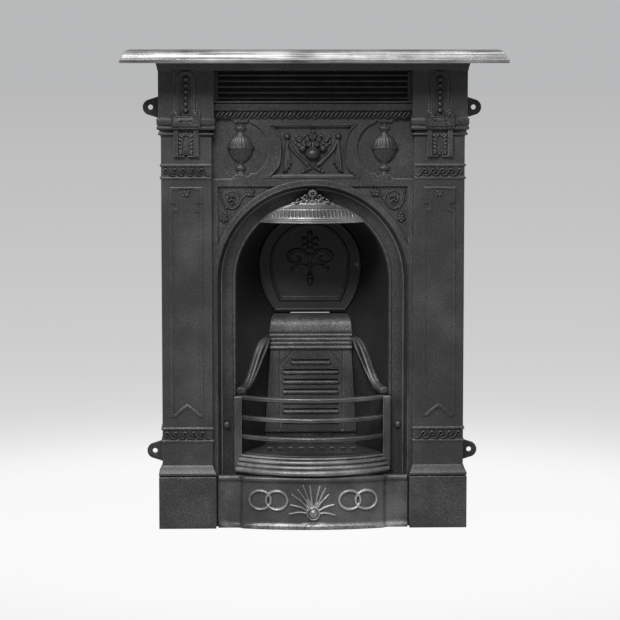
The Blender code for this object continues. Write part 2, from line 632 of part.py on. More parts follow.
def add_scroll_bands(casting):
    """A running scroll between two fillets, near the head and the foot of each shaft."""
    waves = 5
    margin = 5 * MM
    pitch = (PILASTER_WIDTH - 2 * margin) / waves
    lower = PLINTH_HEIGHT + BASE_HEIGHT + LOWER_BLOCK + BAND_HEIGHT / 2
    for side in (-1, 1):
        for height in (lower, SHAFT_TOP + BAND_HEIGHT / 2):
            for i in range(waves):
                x0 = side * PILASTER_X - side * (PILASTER_WIDTH / 2 - margin - (i + 0.5) * pitch)
                curl = [(-0.6, -0.32), (-0.2, -0.28), (0.12, 0.3), (0.42, 0)]
                path = [(x0 - side * x * pitch, height + z * BAND_HEIGHT * 0.62) for x, z in curl]
                casting.ribbon(path, 4.2 * MM, 2.4 * MM, flat(SHAFT_FRONT),
                               taper=lambda t: 0.5 + 0.5 * math.sin(math.pi * t),
                               section=RIDGE)


def add_block_panels(casting):
    """The sunk, round-headed channel with its row of beads on each block over a capital."""
    front = SHAFT_FRONT + BLOCK_SPREAD
    top = LOUVRE_TOP - 1.5 * MM
    for side in (-1, 1):
        middle = side * PILASTER_X
        half = 17 * MM
        head = arc((middle, top - 17 * MM), half, 0, 180, 5)
        casting.ribbon([(middle + half, FRIEZE_TOP), *head, (middle - half, FRIEZE_TOP)], 3.6 * MM, 2.2 * MM,
                       flat(front))
        channel = arc((middle, top - 14.5 * MM), 11 * MM, 0, 180, 5)
        casting.prism([(middle + 11 * MM, FRIEZE_TOP), *channel, (middle - 11 * MM, FRIEZE_TOP)],
                      front + 10 * MM, front - 3 * MM, stage="cut")
        for edge in (-1, 1):
            x = middle + edge * 22 * MM
            casting.stack(x - 0.9 * MM, x + 0.9 * MM, front + 0.8 * MM,
                          [(FRIEZE_TOP + 2 * MM, 0), (top, 0)], back=-(front - 2 * MM))


def add_beads(casting):
    front = SHAFT_FRONT + BLOCK_SPREAD - 3 * MM
    for side in (-1, 1):
        for i in range(6):
            casting.lump((side * PILASTER_X, FRIEZE_TOP + (14.8 + 12.6 * i) * MM), (4.6 * MM, 5 * MM, 4.6 * MM),
                         flat(front), sides=6, rings=STUD)


def add_buckles(casting):
    """The volute clasp over each capital, and the hanging tab under it."""
    front = SHAFT_FRONT + CAPITAL_SPREAD
    top = FRIEZE_TOP + 18 * MM
    foot = CAPITAL_BOTTOM + 21.5 * MM
    reach = 28.8 * MM
    ear = 9.3 * MM
    for side in (-1, 1):
        x0 = side * PILASTER_X
        right = [(reach, foot), *arc((reach - ear, top - ear), ear, 0, 180, 5), (reach - 2 * ear, FRIEZE_TOP + MM)]
        outline = [(x0 + x, z) for x, z in [*right, *mirrored(right)]]
        casting.prism(outline, front + 6 * MM, front - 8 * MM)
        for edge in (-1, 1):
            slot = [(x0 + edge * x * MM, FRIEZE_TOP - z * MM) for x, z in ((6, 5), (13, 5), (13, 7), (6, 7))]
            casting.prism(slot, front + 20 * MM, front + 2 * MM, stage="cut")
        tab_half = 25 * MM
        tab_foot = foot - 60 * MM
        tab = [(tab_half, foot + 2 * MM), (tab_half, tab_foot), (4 * MM, tab_foot), (3 * MM, tab_foot + 5 * MM)]
        casting.prism([(x0 + x, z) for x, z in [*tab, *mirrored(tab)]], SHAFT_FRONT + 8.5 * MM,
                      SHAFT_FRONT - 3 * MM)
        sunk = [(x0 - 15.5 * MM, foot - 5 * MM), (x0 + 15.5 * MM, foot - 5 * MM),
                (x0 + 15.5 * MM, tab_foot + 6 * MM), (x0 - 15.5 * MM, tab_foot + 6 * MM)]
        casting.prism(sunk, SHAFT_FRONT + 20 * MM, SHAFT_FRONT + 3.5 * MM, stage="cut")
        for edge in (-1, 1):
            spray = [(x0 + edge * 2 * MM, foot - 50 * MM), (x0 + edge * 11 * MM, foot - 40 * MM),
                     (x0 + edge * 11.5 * MM, foot - 24 * MM), (x0 + edge * 6 * MM, foot - 9 * MM)]
            casting.ribbon(spray, 8 * MM, 4 * MM, flat(SHAFT_FRONT + 3.5 * MM), section=RIDGE,
                           taper=lambda t: 0.5 + 0.5 * math.sin(math.pi * t))


def add_lugs(casting):
    for side in (-1, 1):
        for height in LUG_HEIGHTS:
            body = BODY_HALF + (BLOCK_SPREAD if height > FRIEZE_TOP else 0)
            centre = (body + LUG_REACH - 4.5 * MM, height)
            ear = arc(centre, LUG_RADIUS, -62, 62, 5)
            outline = [(body - 3 * MM, height - LUG_FOOT / 2), *ear, (body - 3 * MM, height + LUG_FOOT / 2)]
            outline = outline if side > 0 else mirrored(outline)
            casting.prism(outline, LUG_THICK, 0)
            hole = arc((side * centre[0], height), LUG_HOLE / 2, 0, 330, 11)
            casting.prism(hole, LUG_THICK + 5 * MM, -5 * MM, stage="cut")


def bolt_seat():
    """Distance from the wall of the flat seat cut in the cove for the head of a bolt."""
    return cove_out(BOLT_X) - MM


def bolt_holes(casting, depth, seat=False):
    for side in (-1, 1):
        centre = (side * BOLT_X, BOLT_HEIGHT)
        casting.prism(arc(centre, BOLT_SHANK + GAP, 0, 315, 7), PLATE_FRONT, -depth, stage="cut")
        if seat:
            casting.prism(arc(centre, BOLT_HEAD + MM, 0, 330, 11), PLATE_FRONT, bolt_seat(), stage="cut")


def surround(finish, parent):
    casting = Casting("surround", finish, parent, solver="MANIFOLD")
    edge = BODY_INNER + 2 * MM
    rise = arch_path(ARCH_OUTER + MM)
    sheet = [(-edge, 0), (-edge, FRIEZE_TOP), (edge, FRIEZE_TOP), (edge, 0), *rise[::-1]]
    casting.prism(sheet, PLATE_FRONT, PLATE_BACK)
    add_arch(casting)
    add_pilasters(casting)
    add_top(casting)
    add_frieze_mouldings(casting)
    add_rope(casting)
    outline = urn_recess()
    for shape in (outline, mirrored(outline)):
        casting.prism(shape, PLATE_FRONT + 20 * MM, FIELD, stage="cut")
    for side in (-1, 1):
        add_urn(casting, side)
    add_middle_panel(casting)
    add_fruit(casting)
    add_spandrels(casting)
    add_shaft_panels(casting)
    add_scroll_bands(casting)
    add_block_panels(casting)
    add_beads(casting)
    add_buckles(casting)
    add_lugs(casting)
    bolt_holes(casting, CASING_WALL, seat=True)
    return casting.done()


def mantel_shelf(finish, parent):
    """A plain board of cast iron, rounded along its front and ends, hollow underneath and ribbed."""
    casting = Casting("mantel_shelf", finish, parent)
    half = SHELF_WIDTH / 2
    lip = 7.2 * MM
    inset = 4.5 * MM
    levels = [(0, 0), (lip, 0), (lip + 1.3 * MM, 2 * MM), (lip + 1.9 * MM, inset)]
    rise = SHELF_THICK - levels[-1][0]
    for turn in range(15, 91, 15):
        t = math.radians(turn)
        levels.append((levels[3][0] + rise * math.sin(t),
                       inset + (SHELF_EDGE_INSET - inset) * (1 - math.cos(t))))
    rings = []
    for z, inward in levels:
        x = half - inward
        y = -(SHELF_DEPTH - inward)
        rings.append([(-x, 0, SHELF_BOTTOM + z), (-x, y, SHELF_BOTTOM + z),
                      (x, y, SHELF_BOTTOM + z), (x, 0, SHELF_BOTTOM + z)])
    casting.loft(rings)
    inner = SHELF_EDGE_INSET + SHELF_WALL / 2
    bays = [-(half - inner), -SHELF_RIB_AT, SHELF_RIB_AT, half - inner]
    for left, right in zip(bays, bays[1:]):
        casting.box((left + SHELF_RIB_WIDTH / 2, -(SHELF_DEPTH - inner), SHELF_BOTTOM - MM),
                    (right - SHELF_RIB_WIDTH / 2, -SHELF_WALL, SHELF_BOTTOM + SHELF_THICK - SHELF_WALL),
                    stage="cut")
    return casting.done()


def hood_bow(x):
    """How far the lip of the hood stands in front of its ends at this distance from the middle."""
    return HOOD_REACH * (1 - (x / hood_half()) ** 2) ** 0.75


def hood_half():
    return math.sqrt(HOOD_RADIUS ** 2 - (HOOD_LIP_HEIGHT - SPRING_HEIGHT) ** 2)


def hood(finish, parent):
    """A fluted canopy: it starts from the bead of the arch and comes forward to a bowed lip."""
    casting = Casting("hood", finish, parent)
    half = hood_half() - 2 * MM
    start = COVE_FOOT + 3 * MM + GAP + HOOD_THICK
    rows = 3
    columns = 2 * HOOD_FLUTES + 6
    turns = [math.radians(180 * i / columns) for i in range(columns + 1)]
    spread = [-half * math.cos(t) * 0.999 for t in turns]

    def surface(x, share, inner):
        top = SPRING_HEIGHT + math.sqrt(HOOD_RADIUS ** 2 - x * x)
        z = top + (HOOD_LIP_HEIGHT - top) * share
        out = start + hood_bow(x) * share
        return (x, -(out - inner), z)

    rings = []
    for i, x in enumerate(spread):
        valley = 2.2 * MM if i % 2 and 3 < i < columns - 3 else 0
        outer = []
        for row in range(rows + 1):
            share = row / rows
            px, y, z = surface(x, share, 0)
            fluted = valley if 1 <= row <= rows - 1 else 0
            rim = HOOD_LIP * 0.35 if row == rows else 0
            outer.append((px, y + fluted - rim * min(1, hood_bow(x) / HOOD_REACH * 3), z))
        inner = [surface(x, share, HOOD_THICK) for share in (1, 0)]
        rings.append(outer + inner)
    casting.loft(rings)
    add_cresting(casting, start)
    return casting.done()


def add_cresting(casting, start):
    """The leafy crest on the hood, a low wall of leaves and rings in front of the cove."""
    foot = SPRING_HEIGHT + HOOD_RADIUS - 4 * MM
    lean = 13 * MM

    def front(x, z):
        return start + MM + (max(0, z - foot + drop(x)) / CREST_HEIGHT) ** 1.5 * lean

    def drop(x):
        return HOOD_RADIUS - math.sqrt(HOOD_RADIUS ** 2 - x * x)

    steps = 8
    low = []
    high = []
    for i in range(steps + 1):
        x = -CREST_HALF + 2 * CREST_HALF * i / steps
        share = 1 - (x / CREST_HALF) ** 2
        wave = 0.82 + 0.18 * math.cos(4 * math.pi * x / CREST_HALF)
        low.append((x, foot - drop(x)))
        high.append((x, foot + 7 * MM - drop(x) + (CREST_HEIGHT - 9 * MM) * share * wave))
    rings = []
    for (x, z0), (_, z1) in zip(low, high):
        rings.append([(x, -front(x, z0) + 2.5 * MM, z0), (x, -front(x, z0) - MM, z0),
                      (x, -front(x, z1) - 3 * MM, z1), (x, -front(x, z1), z1)])
    casting.loft(rings)

    def face(x, z):
        return front(x, z) + 2 * MM

    casting.lump((0, foot + 15 * MM), (8.5 * MM, 5 * MM, 8.5 * MM), face, sides=8)
    for side in (-1, 1):
        casting.lump((side * 17 * MM, foot + 11 * MM), (6.5 * MM, 4.5 * MM, 6.5 * MM), face)
        casting.lump((side * 32 * MM, foot + MM), (6.5 * MM, 4 * MM, 5 * MM), face)


# The casing behind the arch, and the flap in it

def lean_at(z):
    """Distance behind the wall of the leaning plane that the flap lies in."""
    return CASING_DEPTH + (z - FLAP_HINGE_HEIGHT) * math.tan(FLAP_LEAN)


def horseshoe(half, widest, drop, foot, inset=0.0, steps=14):
    """The outline (x, z) of the flap: a half circle over the lower part of an ellipse, cut level at the foot."""
    cut = -math.degrees(math.asin((widest - foot - inset) / drop))
    over = arc((0, widest), half - inset, 180, 0, steps)
    right = arc((0, widest), half - inset, 0, cut, 3, drop)[1:]
    return [*mirrored(right), *over, *right]


def flap_outline(inset=0.0):
    return horseshoe(FLAP_HALF, FLAP_WIDEST, FLAP_LOWER_DROP, FLAP_FOOT, inset)


def casing_stations():
    """Matching points (x, z) of the arch and of the horseshoe, with the outward direction at each."""
    sides = 5
    over = 12
    foot = flap_foot_half() + FLAP_CLEARANCE
    low = 112 * MM
    hinge = FLAP_FOOT
    rear = [(low, 0), (low, hinge * 0.35), (low - 13 * MM, hinge * 0.7), (low - 27 * MM, hinge * 0.87),
            (foot, hinge)]
    stations = []
    for i, (x, z) in enumerate(rear):
        stations.append(((OPENING_HALF, hinge * i / (sides - 1)), (x, z), (1, 0)))
    reach = FLAP_HALF + FLAP_CLEARANCE
    sink = -math.degrees(math.asin((FLAP_WIDEST - hinge) / (FLAP_LOWER_DROP + FLAP_CLEARANCE)))
    lower = arc((0, FLAP_WIDEST), reach, sink, 0, 3, FLAP_LOWER_DROP + FLAP_CLEARANCE)[1:-1]
    for i, point in enumerate(lower):
        z = hinge + (SPRING_HEIGHT - hinge) * (i + 1) / (len(lower) + 1)
        stations.append(((OPENING_HALF, z), point, (1, 0)))
    front = arc((0, SPRING_HEIGHT), OPENING_HALF, 0, 90, over // 2)
    rear = arc((0, FLAP_WIDEST), reach, 0, 90, over // 2)
    for one, other in zip(front, rear):
        away = Vector((one[0], one[1] - SPRING_HEIGHT)).normalized()
        stations.append((one, other, (away.x, away.y)))
    left = [((-a[0], a[1]), (-b[0], b[1]), (-c[0], c[1])) for a, b, c in reversed(stations[:-1])]
    return stations + left


def flap_foot_half():
    """Half the width of the flap at its level foot."""
    share = (FLAP_WIDEST - FLAP_FOOT) / FLAP_LOWER_DROP
    return FLAP_HALF * math.sqrt(1 - share * share)


def casing_inside(front, rear, share):
    """A point on the inner face of the casing, this share of the way from the arch to the flap."""
    x0, z0 = front
    x1, z1 = rear
    inward = share ** 1.35
    back = GAP + (lean_at(z1) - GAP) * (1 - (1 - share) ** 1.25)
    return x0 + (x1 - x0) * inward, back, z0 + (z1 - z0) * inward


def back_casing(finish, parent):
    """A splayed shell from the arch to the horseshoe opening, with a flange at its front edge."""
    casting = Casting("back_casing", finish, parent, solver="MANIFOLD")
    ledge = FLAP_THICK + FLAP_SEAT
    rings = []
    for front, rear, (ax, az) in casing_stations():
        inner = [casing_inside(front, rear, share) for share in (0, 0.33, 0.67, 1)]
        x, y, z = inner[-1]
        above = rear[1] >= FLAP_FOOT - MM
        inset = FLAP_REBATE if above else 0.5 * MM
        inner += [(x, y + ledge, z), (x - ax * inset, y + ledge, z - az * inset),
                  (x - ax * inset, y + ledge + CASING_WALL, z - az * inset)]
        outer = []
        for share in (1, 0.67, 0.33):
            x, y, z = casing_inside(front, rear, share)
            outer.append((x + ax * CASING_WALL, y + (ledge + CASING_WALL if share == 1 else 0),
                          z + az * CASING_WALL))
        rim = FLANGE_OUTER - OPENING_HALF
        x, z = front
        outer += [(x + ax * (CASING_WALL + MM), GAP + CASING_WALL, z + az * (CASING_WALL + MM)),
                  (x + ax * rim, GAP + CASING_WALL, z + az * rim), (x + ax * rim, GAP, z + az * rim)]
        rings.append(inner + outer)
    casting.loft(rings)
    for side in (-1, 1):
        top = GRATE_HEIGHT - GRATE_THICK - GAP
        plan = [(side * (OPENING_HALF + x * MM), y * MM) for x, y in ((-37, 44), (-4, 44), (-13.5, 84), (-47, 84))]
        casting.loft([[(x, y, top - 8 * MM) for x, y in plan], [(x, y, top) for x, y in plan]])
        axle = arc((CASING_DEPTH + FLAP_THICK / 2, FLAP_HINGE_HEIGHT), FLAP_PIN / 2 + 0.6 * MM, 0, 330, 11)
        left, right = sorted((side * flap_foot_half() * 0.9, side * (flap_foot_half() + 30 * MM)))
        casting.bar([(-y, z) for y, z in axle], left, right, stage="cut")
    top = GRATE_HEIGHT - GRATE_THICK - GAP
    wall = FIREBACK_FRONT + FIREBACK_THICK + 5 * MM
    ends = ((0, OPENING_HALF - 33.5 * MM), (top, OPENING_HALF - 28.5 * MM))
    casting.loft([[(-half, wall, z), (half, wall, z), (half, wall + CASING_WALL, z), (-half, wall + CASING_WALL, z)]
                  for z, half in ends])
    sill = flap_foot_half() + 6 * MM
    rear = CASING_DEPTH + FLAP_THICK + FLAP_SEAT
    casting.box((-sill, CASING_DEPTH - 2 * MM, SILL_TOP - SILL_HEIGHT), (sill, rear + CASING_WALL, SILL_TOP))
    for side in (-1, 1):
        left, right = sorted((side * SILL_GAP_HALF, side * sill))
        casting.box((left, rear + MM, SILL_TOP - SILL_HEIGHT / 2), (right, rear + CASING_WALL, FLAP_HINGE_HEIGHT))
    bolt_holes(casting, CASING_WALL + 10 * MM)
    return casting.done()


def flue_flap(finish, parent):
    """The damper plate: built upright on its hinge line, and leaning back from it."""
    hinge = (0, CASING_DEPTH + FLAP_THICK / 2, FLAP_HINGE_HEIGHT)
    casting = Casting("flue_flap", finish, parent, origin=hinge, lean=-FLAP_LEAN, solver="MANIFOLD")

    def down(points):
        return [(x, z - FLAP_HINGE_HEIGHT) for x, z in points]

    casting.prism(down(flap_outline()), FLAP_THICK / 2, -FLAP_THICK / 2)
    pin = arc((0, 0), FLAP_PIN / 2, 0, 330, 11)
    reach = flap_foot_half() + 5.5 * MM
    casting.bar(pin, -reach, reach)
    face = flat(FLAP_THICK / 2)
    foot = FLAP_HINGE_HEIGHT + 22 * MM
    frame = horseshoe(FLAP_FRAME_HALF, FLAP_WIDEST + 4 * MM, FLAP_FRAME_DROP, foot, steps=10)
    casting.ribbon(down(frame)[::-1], 4.6 * MM, 2.4 * MM, face, closed=True, section=RIDGE)
    rim = down(flap_outline(3.5 * MM))
    casting.ribbon(rim[::-1], 4 * MM, 1.8 * MM, face, closed=True, section=RIDGE)
    add_arabesque(casting, face)
    return casting.done()


def add_arabesque(casting, face):
    """A stem of balls with two scrolls, two tendrils and a head of six petals."""
    base = FLAP_WIDEST - FLAP_HINGE_HEIGHT
    for drop, size in ((-23, 5.6), (-31.5, 6.2), (-39, 4.6)):
        casting.lump((0, base + drop * MM), (size * MM, 5 * MM, 4.6 * MM), face)
    for side in (-1, 1):
        scroll = [(1.5, -2), (3, 14.5), (11, 27.2), (24, 31.4), (38, 29), (47, 19), (40, 6), (27, 4), (20, 11),
                  (25, 17.8)]
        tendril = [(2, -8), (10, -1), (19, 0), (30, -5)]
        for points, width in ((scroll, 4.6), (tendril, 3.6)):
            path = [(side * x * MM, base + z * MM) for x, z in points]
            casting.ribbon(path, width * MM, 3 * MM, face, section=RIDGE)
        casting.lump((side * 35 * MM, base - 9 * MM), (4.5 * MM, 3 * MM, 3.6 * MM), face, sides=6, rings=STUD)
        for x, z, size in ((12, 52.5, 5.5), (11, 39, 5.5), (5, 32, 4.5)):
            casting.lump((side * x * MM, base + z * MM), (size * MM, 3.4 * MM, size * MM), face, sides=6, rings=STUD)
    stem = [(0, base - 22 * MM), (0, base + 36 * MM)]
    casting.ribbon(stem, 6 * MM, 3 * MM, face, section=RIDGE)
    casting.lump((0, base + 45 * MM), (5 * MM, 4.4 * MM, 5 * MM), face, sides=6, rings=STUD)
    casting.lump((0, base + 62 * MM), (5 * MM, 3.6 * MM, 9 * MM), face, sides=6, rings=STUD)


# The fire

def fireback_half(z):
    """Half the width of the fireback at a height."""
    foot = GRATE_HEIGHT + 30 * MM
    share = min(1, max(0, (z - foot) / (REEDS_BOTTOM - foot)))
    return FIREBACK_HALF_BOTTOM + (FIREBACK_HALF_TOP - FIREBACK_HALF_BOTTOM) * share


def fireback(finish, parent):
    """The back plate of the fire: a slotted panel, a band of reeds and a rounded top."""
    casting = Casting("fireback", finish, parent, solver="MANIFOLD")
    foot = GRATE_HEIGHT + GAP
    recess = GRATE_HEIGHT + 27 * MM
    reeds = REEDS_BOTTOM
    front = FIREBACK_FRONT
    rows = [(front + 6 * MM, foot), (front + 6 * MM, recess), (front, recess + 2 * MM), (front, reeds - MM)]
    reed = FIREBACK_REED_ZONE / FIREBACK_REEDS
    for i in range(FIREBACK_REEDS):
        low = reeds + i * reed
        rows += [(front - 2 * MM, low), (front - 6 * MM, low + 0.25 * reed), (front - 6 * MM, low + 0.7 * reed)]
    for turn in range(0, 91, 15):
        t = math.radians(turn)
        rows.append((front - 5 * MM + 28 * MM * (1 - math.cos(t)),
                     FIREBACK_TOP - FIREBACK_DOME * (1 - math.sin(t))))
    rings = []
    for i, (y, z) in enumerate(rows):
        half = fireback_half(z) + (1.5 * MM if reeds <= z < FIREBACK_TOP - FIREBACK_DOME else 0)
        if z > FIREBACK_TOP - FIREBACK_DOME:
            share = (z - FIREBACK_TOP + FIREBACK_DOME) / FIREBACK_DOME
            half -= 6.5 * MM * share ** 3
        over = max(0, z - (FIREBACK_TOP - FIREBACK_DOME)) / FIREBACK_DOME
        back = max(y, front) + FIREBACK_THICK
        rings.append([(-half, y, z), (half, y, z), (half, back, z - over * 6 * MM),
                      (-half, back, z - over * 6 * MM)])
    casting.loft(rings)
    for side in (-1, 1):
        wide = 7 * MM
        heights = (foot, recess, reeds, CHEEK_BACK_HEIGHT)
        outline = [(side * (fireback_half(z) + wide), z) for z in heights]
        outline += [(side * (fireback_half(z) - wide), z) for z in reversed(heights)]
        casting.prism(outline, -(front + 7.5 * MM), -(front + FIREBACK_THICK + 4 * MM))
    panel = reeds - 3 * MM
    strip = 65.5 * MM
    groove = 1.3 * MM
    for side in (-1, 1):
        outline = [(side * (strip - groove), recess + 4 * MM), (side * (strip + groove), recess + 4 * MM),
                   (side * (strip + groove), panel), (side * (strip - groove), panel)]
        casting.prism(outline if side > 0 else outline[::-1], -front + 9 * MM, -front - 2 * MM, stage="cut")
        bevel = [(side * 40 * MM, panel), (side * (strip - groove), panel - 26 * MM),
                 (side * (strip - groove), panel - 30 * MM), (side * 36.5 * MM, panel)]
        casting.prism(bevel, -front + 9 * MM, -front - 2 * MM, stage="cut")
    highest = reeds - 25 * MM
    pitch = (highest - recess - 25.4 * MM) / (FIREBACK_SLOTS - 1)
    for i in range(FIREBACK_SLOTS):
        z = highest - i * pitch
        half = 57 * MM if i else 40 * MM
        casting.prism([(-half, z), (half, z), (half, z + 4 * MM), (-half, z + 4 * MM)],
                      -front + 9 * MM, -front - 4.5 * MM, stage="cut")
        lip = [(-half + MM, z - 3.4 * MM), (half - MM, z - 3.4 * MM)]
        casting.ribbon(lip, 5.5 * MM, 2.6 * MM, flat(-front), section=((-0.5, -0.4), (-0.2, 1), (0.3, 0.8),
                                                                       (0.5, -0.4)))
    return casting.done()


def cheek(side, finish, parent):
    """A side plate of the fire: it runs from the post to the fireback under an S-curved moulded rail."""
    name = "cheek_left" if side < 0 else "cheek_right"
    casting = Casting(name, finish, parent)
    foot = GRATE_HEIGHT + GAP
    steps = 9
    start = Vector((POST_OUTER - CHEEK_INSET, -(COVE_FOOT + 2.5 * MM)))
    edge = CHEEK_THICK - RAIL_WIDTH - 0.6 * MM
    section = [(edge, -7 * MM), (edge, MM), (edge + 3.5 * MM, 4 * MM), (edge + 6 * MM, MM),
               (-1.5 * MM, 2.6 * MM), (1 * MM, 5.4 * MM), (5.5 * MM, 4.4 * MM), (CHEEK_THICK - 0.6 * MM, 0)]
    rings = []
    for i in range(steps + 1):
        share = i / steps
        rise = (CHEEK_BACK_HEIGHT - CHEEK_FRONT_HEIGHT) * share ** 1.2 * (3 - 2 * share ** 1.2) * share ** 1.2
        height = CHEEK_FRONT_HEIGHT + rise
        points = [(0, foot), (0, height - 9 * MM)]
        points += [(n, height + z) for n, z in section]
        points += [(CHEEK_THICK - 0.6 * MM, foot)]
        ring = []
        for n, z in points:
            end = Vector((fireback_half(z) + 2 * MM, FIREBACK_FRONT + 2 * MM))
            along = (end - start).normalized()
            spot = start.lerp(end, share) + Vector((along.y, -along.x)) * n
            ring.append((side * max(spot.x, end.x), spot.y, z))
        rings.append(ring)
    casting.loft(rings)
    return casting.done()


def bow(turn_share, offset=0.0, reach=None):
    """A point (x, y) on the bowed line of the bars, from -1 at the left post to 1 at the right one."""
    reach = BAR_REACH if reach is None else reach
    chord = POST_OUTER - POST_WIDTH + 2 * MM
    radius = (chord ** 2 + reach ** 2) / (2 * reach)
    turn = turn_share * math.asin(chord / radius)
    ends = COVE_FOOT + 11 * MM
    return ((radius + offset) * math.sin(turn),
            -(ends + reach - radius + (radius + offset) * math.cos(turn)))


def grate_front(finish, parent):
    """Two posts, three bowed bars and a moulded skirt, cast together."""
    casting = Casting("grate_front", finish, parent, solver="MANIFOLD")
    back = COVE_FOOT + 4.5 * MM
    for side in (-1, 1):
        left, right = sorted((side * POST_OUTER, side * (POST_OUTER - POST_WIDTH)))
        casting.stack(left + 1.5 * MM, right - 1.5 * MM, back + POST_DEPTH - 1.5 * MM,
                      [(POST_FOOT, 1.5 * MM), (POST_TOP - 2 * MM, 1.5 * MM), (POST_TOP, 0)], back=-back)
    steps = 10
    section = [(-0.5, -0.4), (-0.5, 0.4), (-0.1, 0.5), (0.42, 0.3), (0.42, -0.3), (-0.1, -0.5)]
    for height in BAR_HEIGHTS:
        rings = []
        for i in range(steps + 1):
            share = -1 + 2 * i / steps
            ring = []
            for out, up in section:
                x, y = bow(share, (out - 0.5) * BAR_THICK)
                ring.append((x, y, height + up * BAR_HEIGHT))
            rings.append(ring)
        casting.loft(rings)
    tall = SKIRT_TOP - SKIRT_FOOT
    profile = [(-9, 1), (-2, 1), (0, 0.9), (-1, 0.84), (4.5, 0.6), (3.5, 0.53), (8, 0.36), (15.5, 0.2),
               (15.5, 0.06), (13, 0), (2, 0), (-4, 0.5)]
    rings = []
    for i in range(steps + 1):
        share = -1 + 2 * i / steps
        ring = []
        for out, up in profile:
            x, y = bow(share, out * SKIRT_SPREAD / 15.5)
            ring.append((x, y, SKIRT_FOOT + up * tall))
        rings.append(ring)
    casting.loft(rings)
    return casting.done()


def bottom_grate(finish, parent):
    """The slotted plate under the fire. Its front edge follows the skirt and its back carries the fireback."""
    casting = Casting("bottom_grate", finish, parent)
    front = [bow(-1 + 2 * i / 10, -11 * MM) for i in range(1, 10)]
    side = POST_OUTER - 9.5 * MM
    rear = FIREBACK_FRONT + FIREBACK_THICK + 18 * MM
    outline = [*front, (side - 11 * MM, -8 * MM), (side, 2 * MM), (side, 10 * MM),
               (FIREBACK_HALF_BOTTOM + 17 * MM, rear)]
    outline += [(-x, y) for x, y in outline[:-5:-1]]
    top = GRATE_HEIGHT
    casting.loft([[(x, y, top - GRATE_THICK) for x, y in outline], [(x, y, top) for x, y in outline]])
    for i in range(GRATE_SLOTS):
        x = (i - (GRATE_SLOTS - 1) / 2) * GRATE_SLOT_PITCH
        half = GRATE_SLOT_WIDTH / 2
        casting.box((x - half, 2 * MM, top - 2 * GRATE_THICK),
                    (x + half, 2 * MM + GRATE_SLOT_LENGTH, top + GRATE_THICK), stage="cut")
    return casting.done()


# The ash cover and the bolts

def ash_out(x, z=0.0):
    """Distance of the face of the ash cover from the wall: flat ends, a small step, then a bow."""
    inner = ASH_HALF - ASH_FLAT - ASH_STEP
    if abs(x) >= inner + ASH_STEP:
        return ASH_FRONT
    if abs(x) > inner:
        share = (inner + ASH_STEP - abs(x)) / ASH_STEP
        return ASH_FRONT + ASH_STEP * 0.85 * share * share * (3 - 2 * share)
    return ASH_FRONT + ASH_STEP * 0.85 + ASH_REACH * (1 - (x / inner) ** 2)


def ash_cover(finish, parent):
    """The bowed cover of the ash pit, with two pairs of linked rings and a boss with rays."""
    casting = Casting("ash_cover", finish, parent, solver="MANIFOLD")
    inner = ASH_HALF - ASH_FLAT - ASH_STEP
    stops = [-ASH_HALF, -(inner + ASH_STEP), -(inner + ASH_STEP * 0.65), -(inner + ASH_STEP * 0.35), -inner]
    stops += [inner * (-1 + 2 * i / 10) for i in range(1, 10)]
    stops += [-x for x in stops[4::-1]]
    top = ASH_HEIGHT
    profile = [(0, 14 * MM), (0, top - 11 * MM), (4.5 * MM, top - 8 * MM), (3.5 * MM, top - 1.5 * MM),
               (0, top), (-ASH_THICK, top), (-ASH_THICK, 0), (ASH_LIP, 0), (ASH_LIP, 8 * MM)]
    casting.loft([[(x, -(ash_out(x) + out), z) for out, z in profile] for x in stops])
    for side in (-1, 1):
        for x, lift in ((74 * MM, 0), (107.5 * MM, 0.6 * MM)):
            ring = arc((side * x, 59.3 * MM), 21.6 * MM, 0, 330, 11, 19 * MM)
            casting.ribbon(ring, 4.4 * MM, 2.2 * MM + lift, ash_out, closed=True,
                           section=RIDGE)
    boss = (0, 33 * MM)
    casting.lump(boss, (13.4 * MM, 8 * MM, 13.4 * MM), ash_out, sides=10)
    rays = [(-48, -1), (-46, 17), (-43, 38), (-31, 48), (-20.5, 57), (-7, 57), (13, 55), (24.5, 51), (31, 38),
            (42, 17.5), (44, -4)]
    for x, z in rays:
        tip = Vector((boss[0] + x * MM, boss[1] + z * MM))
        root = Vector(boss) + (tip - Vector(boss)).normalized() * 11 * MM
        middle = (tip + root) / 2 + Vector((0, 2.2 * MM * (1 if abs(x) > 25 else 0)))
        casting.ribbon([root, middle, tip], 5.2 * MM, 3.2 * MM, ash_out,
                       taper=lambda t: 1 - 0.55 * t, section=RIDGE)
    return casting.done()


def bolt(side, finish, parent):
    """A round-headed bolt through the cove and the flange behind it, with its nut."""
    name = "bolt_left" if side < 0 else "bolt_right"
    casting = Casting(name, finish, parent)
    seat = bolt_seat() + GAP
    behind = -(2 * GAP + CASING_WALL)
    profile = [(BOLT_SHANK, behind - 9 * MM), (BOLT_SHANK, behind - 6.3 * MM), (7 * MM, behind - 6 * MM),
               (7 * MM, behind - GAP), (BOLT_SHANK, behind - GAP + 0.2 * MM), (BOLT_SHANK, seat),
               (BOLT_HEAD, seat + 0.2 * MM), (BOLT_HEAD, seat + 1.4 * MM), (BOLT_HEAD * 0.85, seat + 3.6 * MM),
               (BOLT_HEAD * 0.5, seat + 5 * MM), (BOLT_HEAD * 0.15, seat + 5.4 * MM)]
    rings = []
    for radius, out in profile:
        circle = arc((side * BOLT_X, BOLT_HEIGHT), radius, 0, 315, 7)
        rings.append([(x, -out, z) for x, z in circle])
    casting.loft(rings)
    return casting.done()


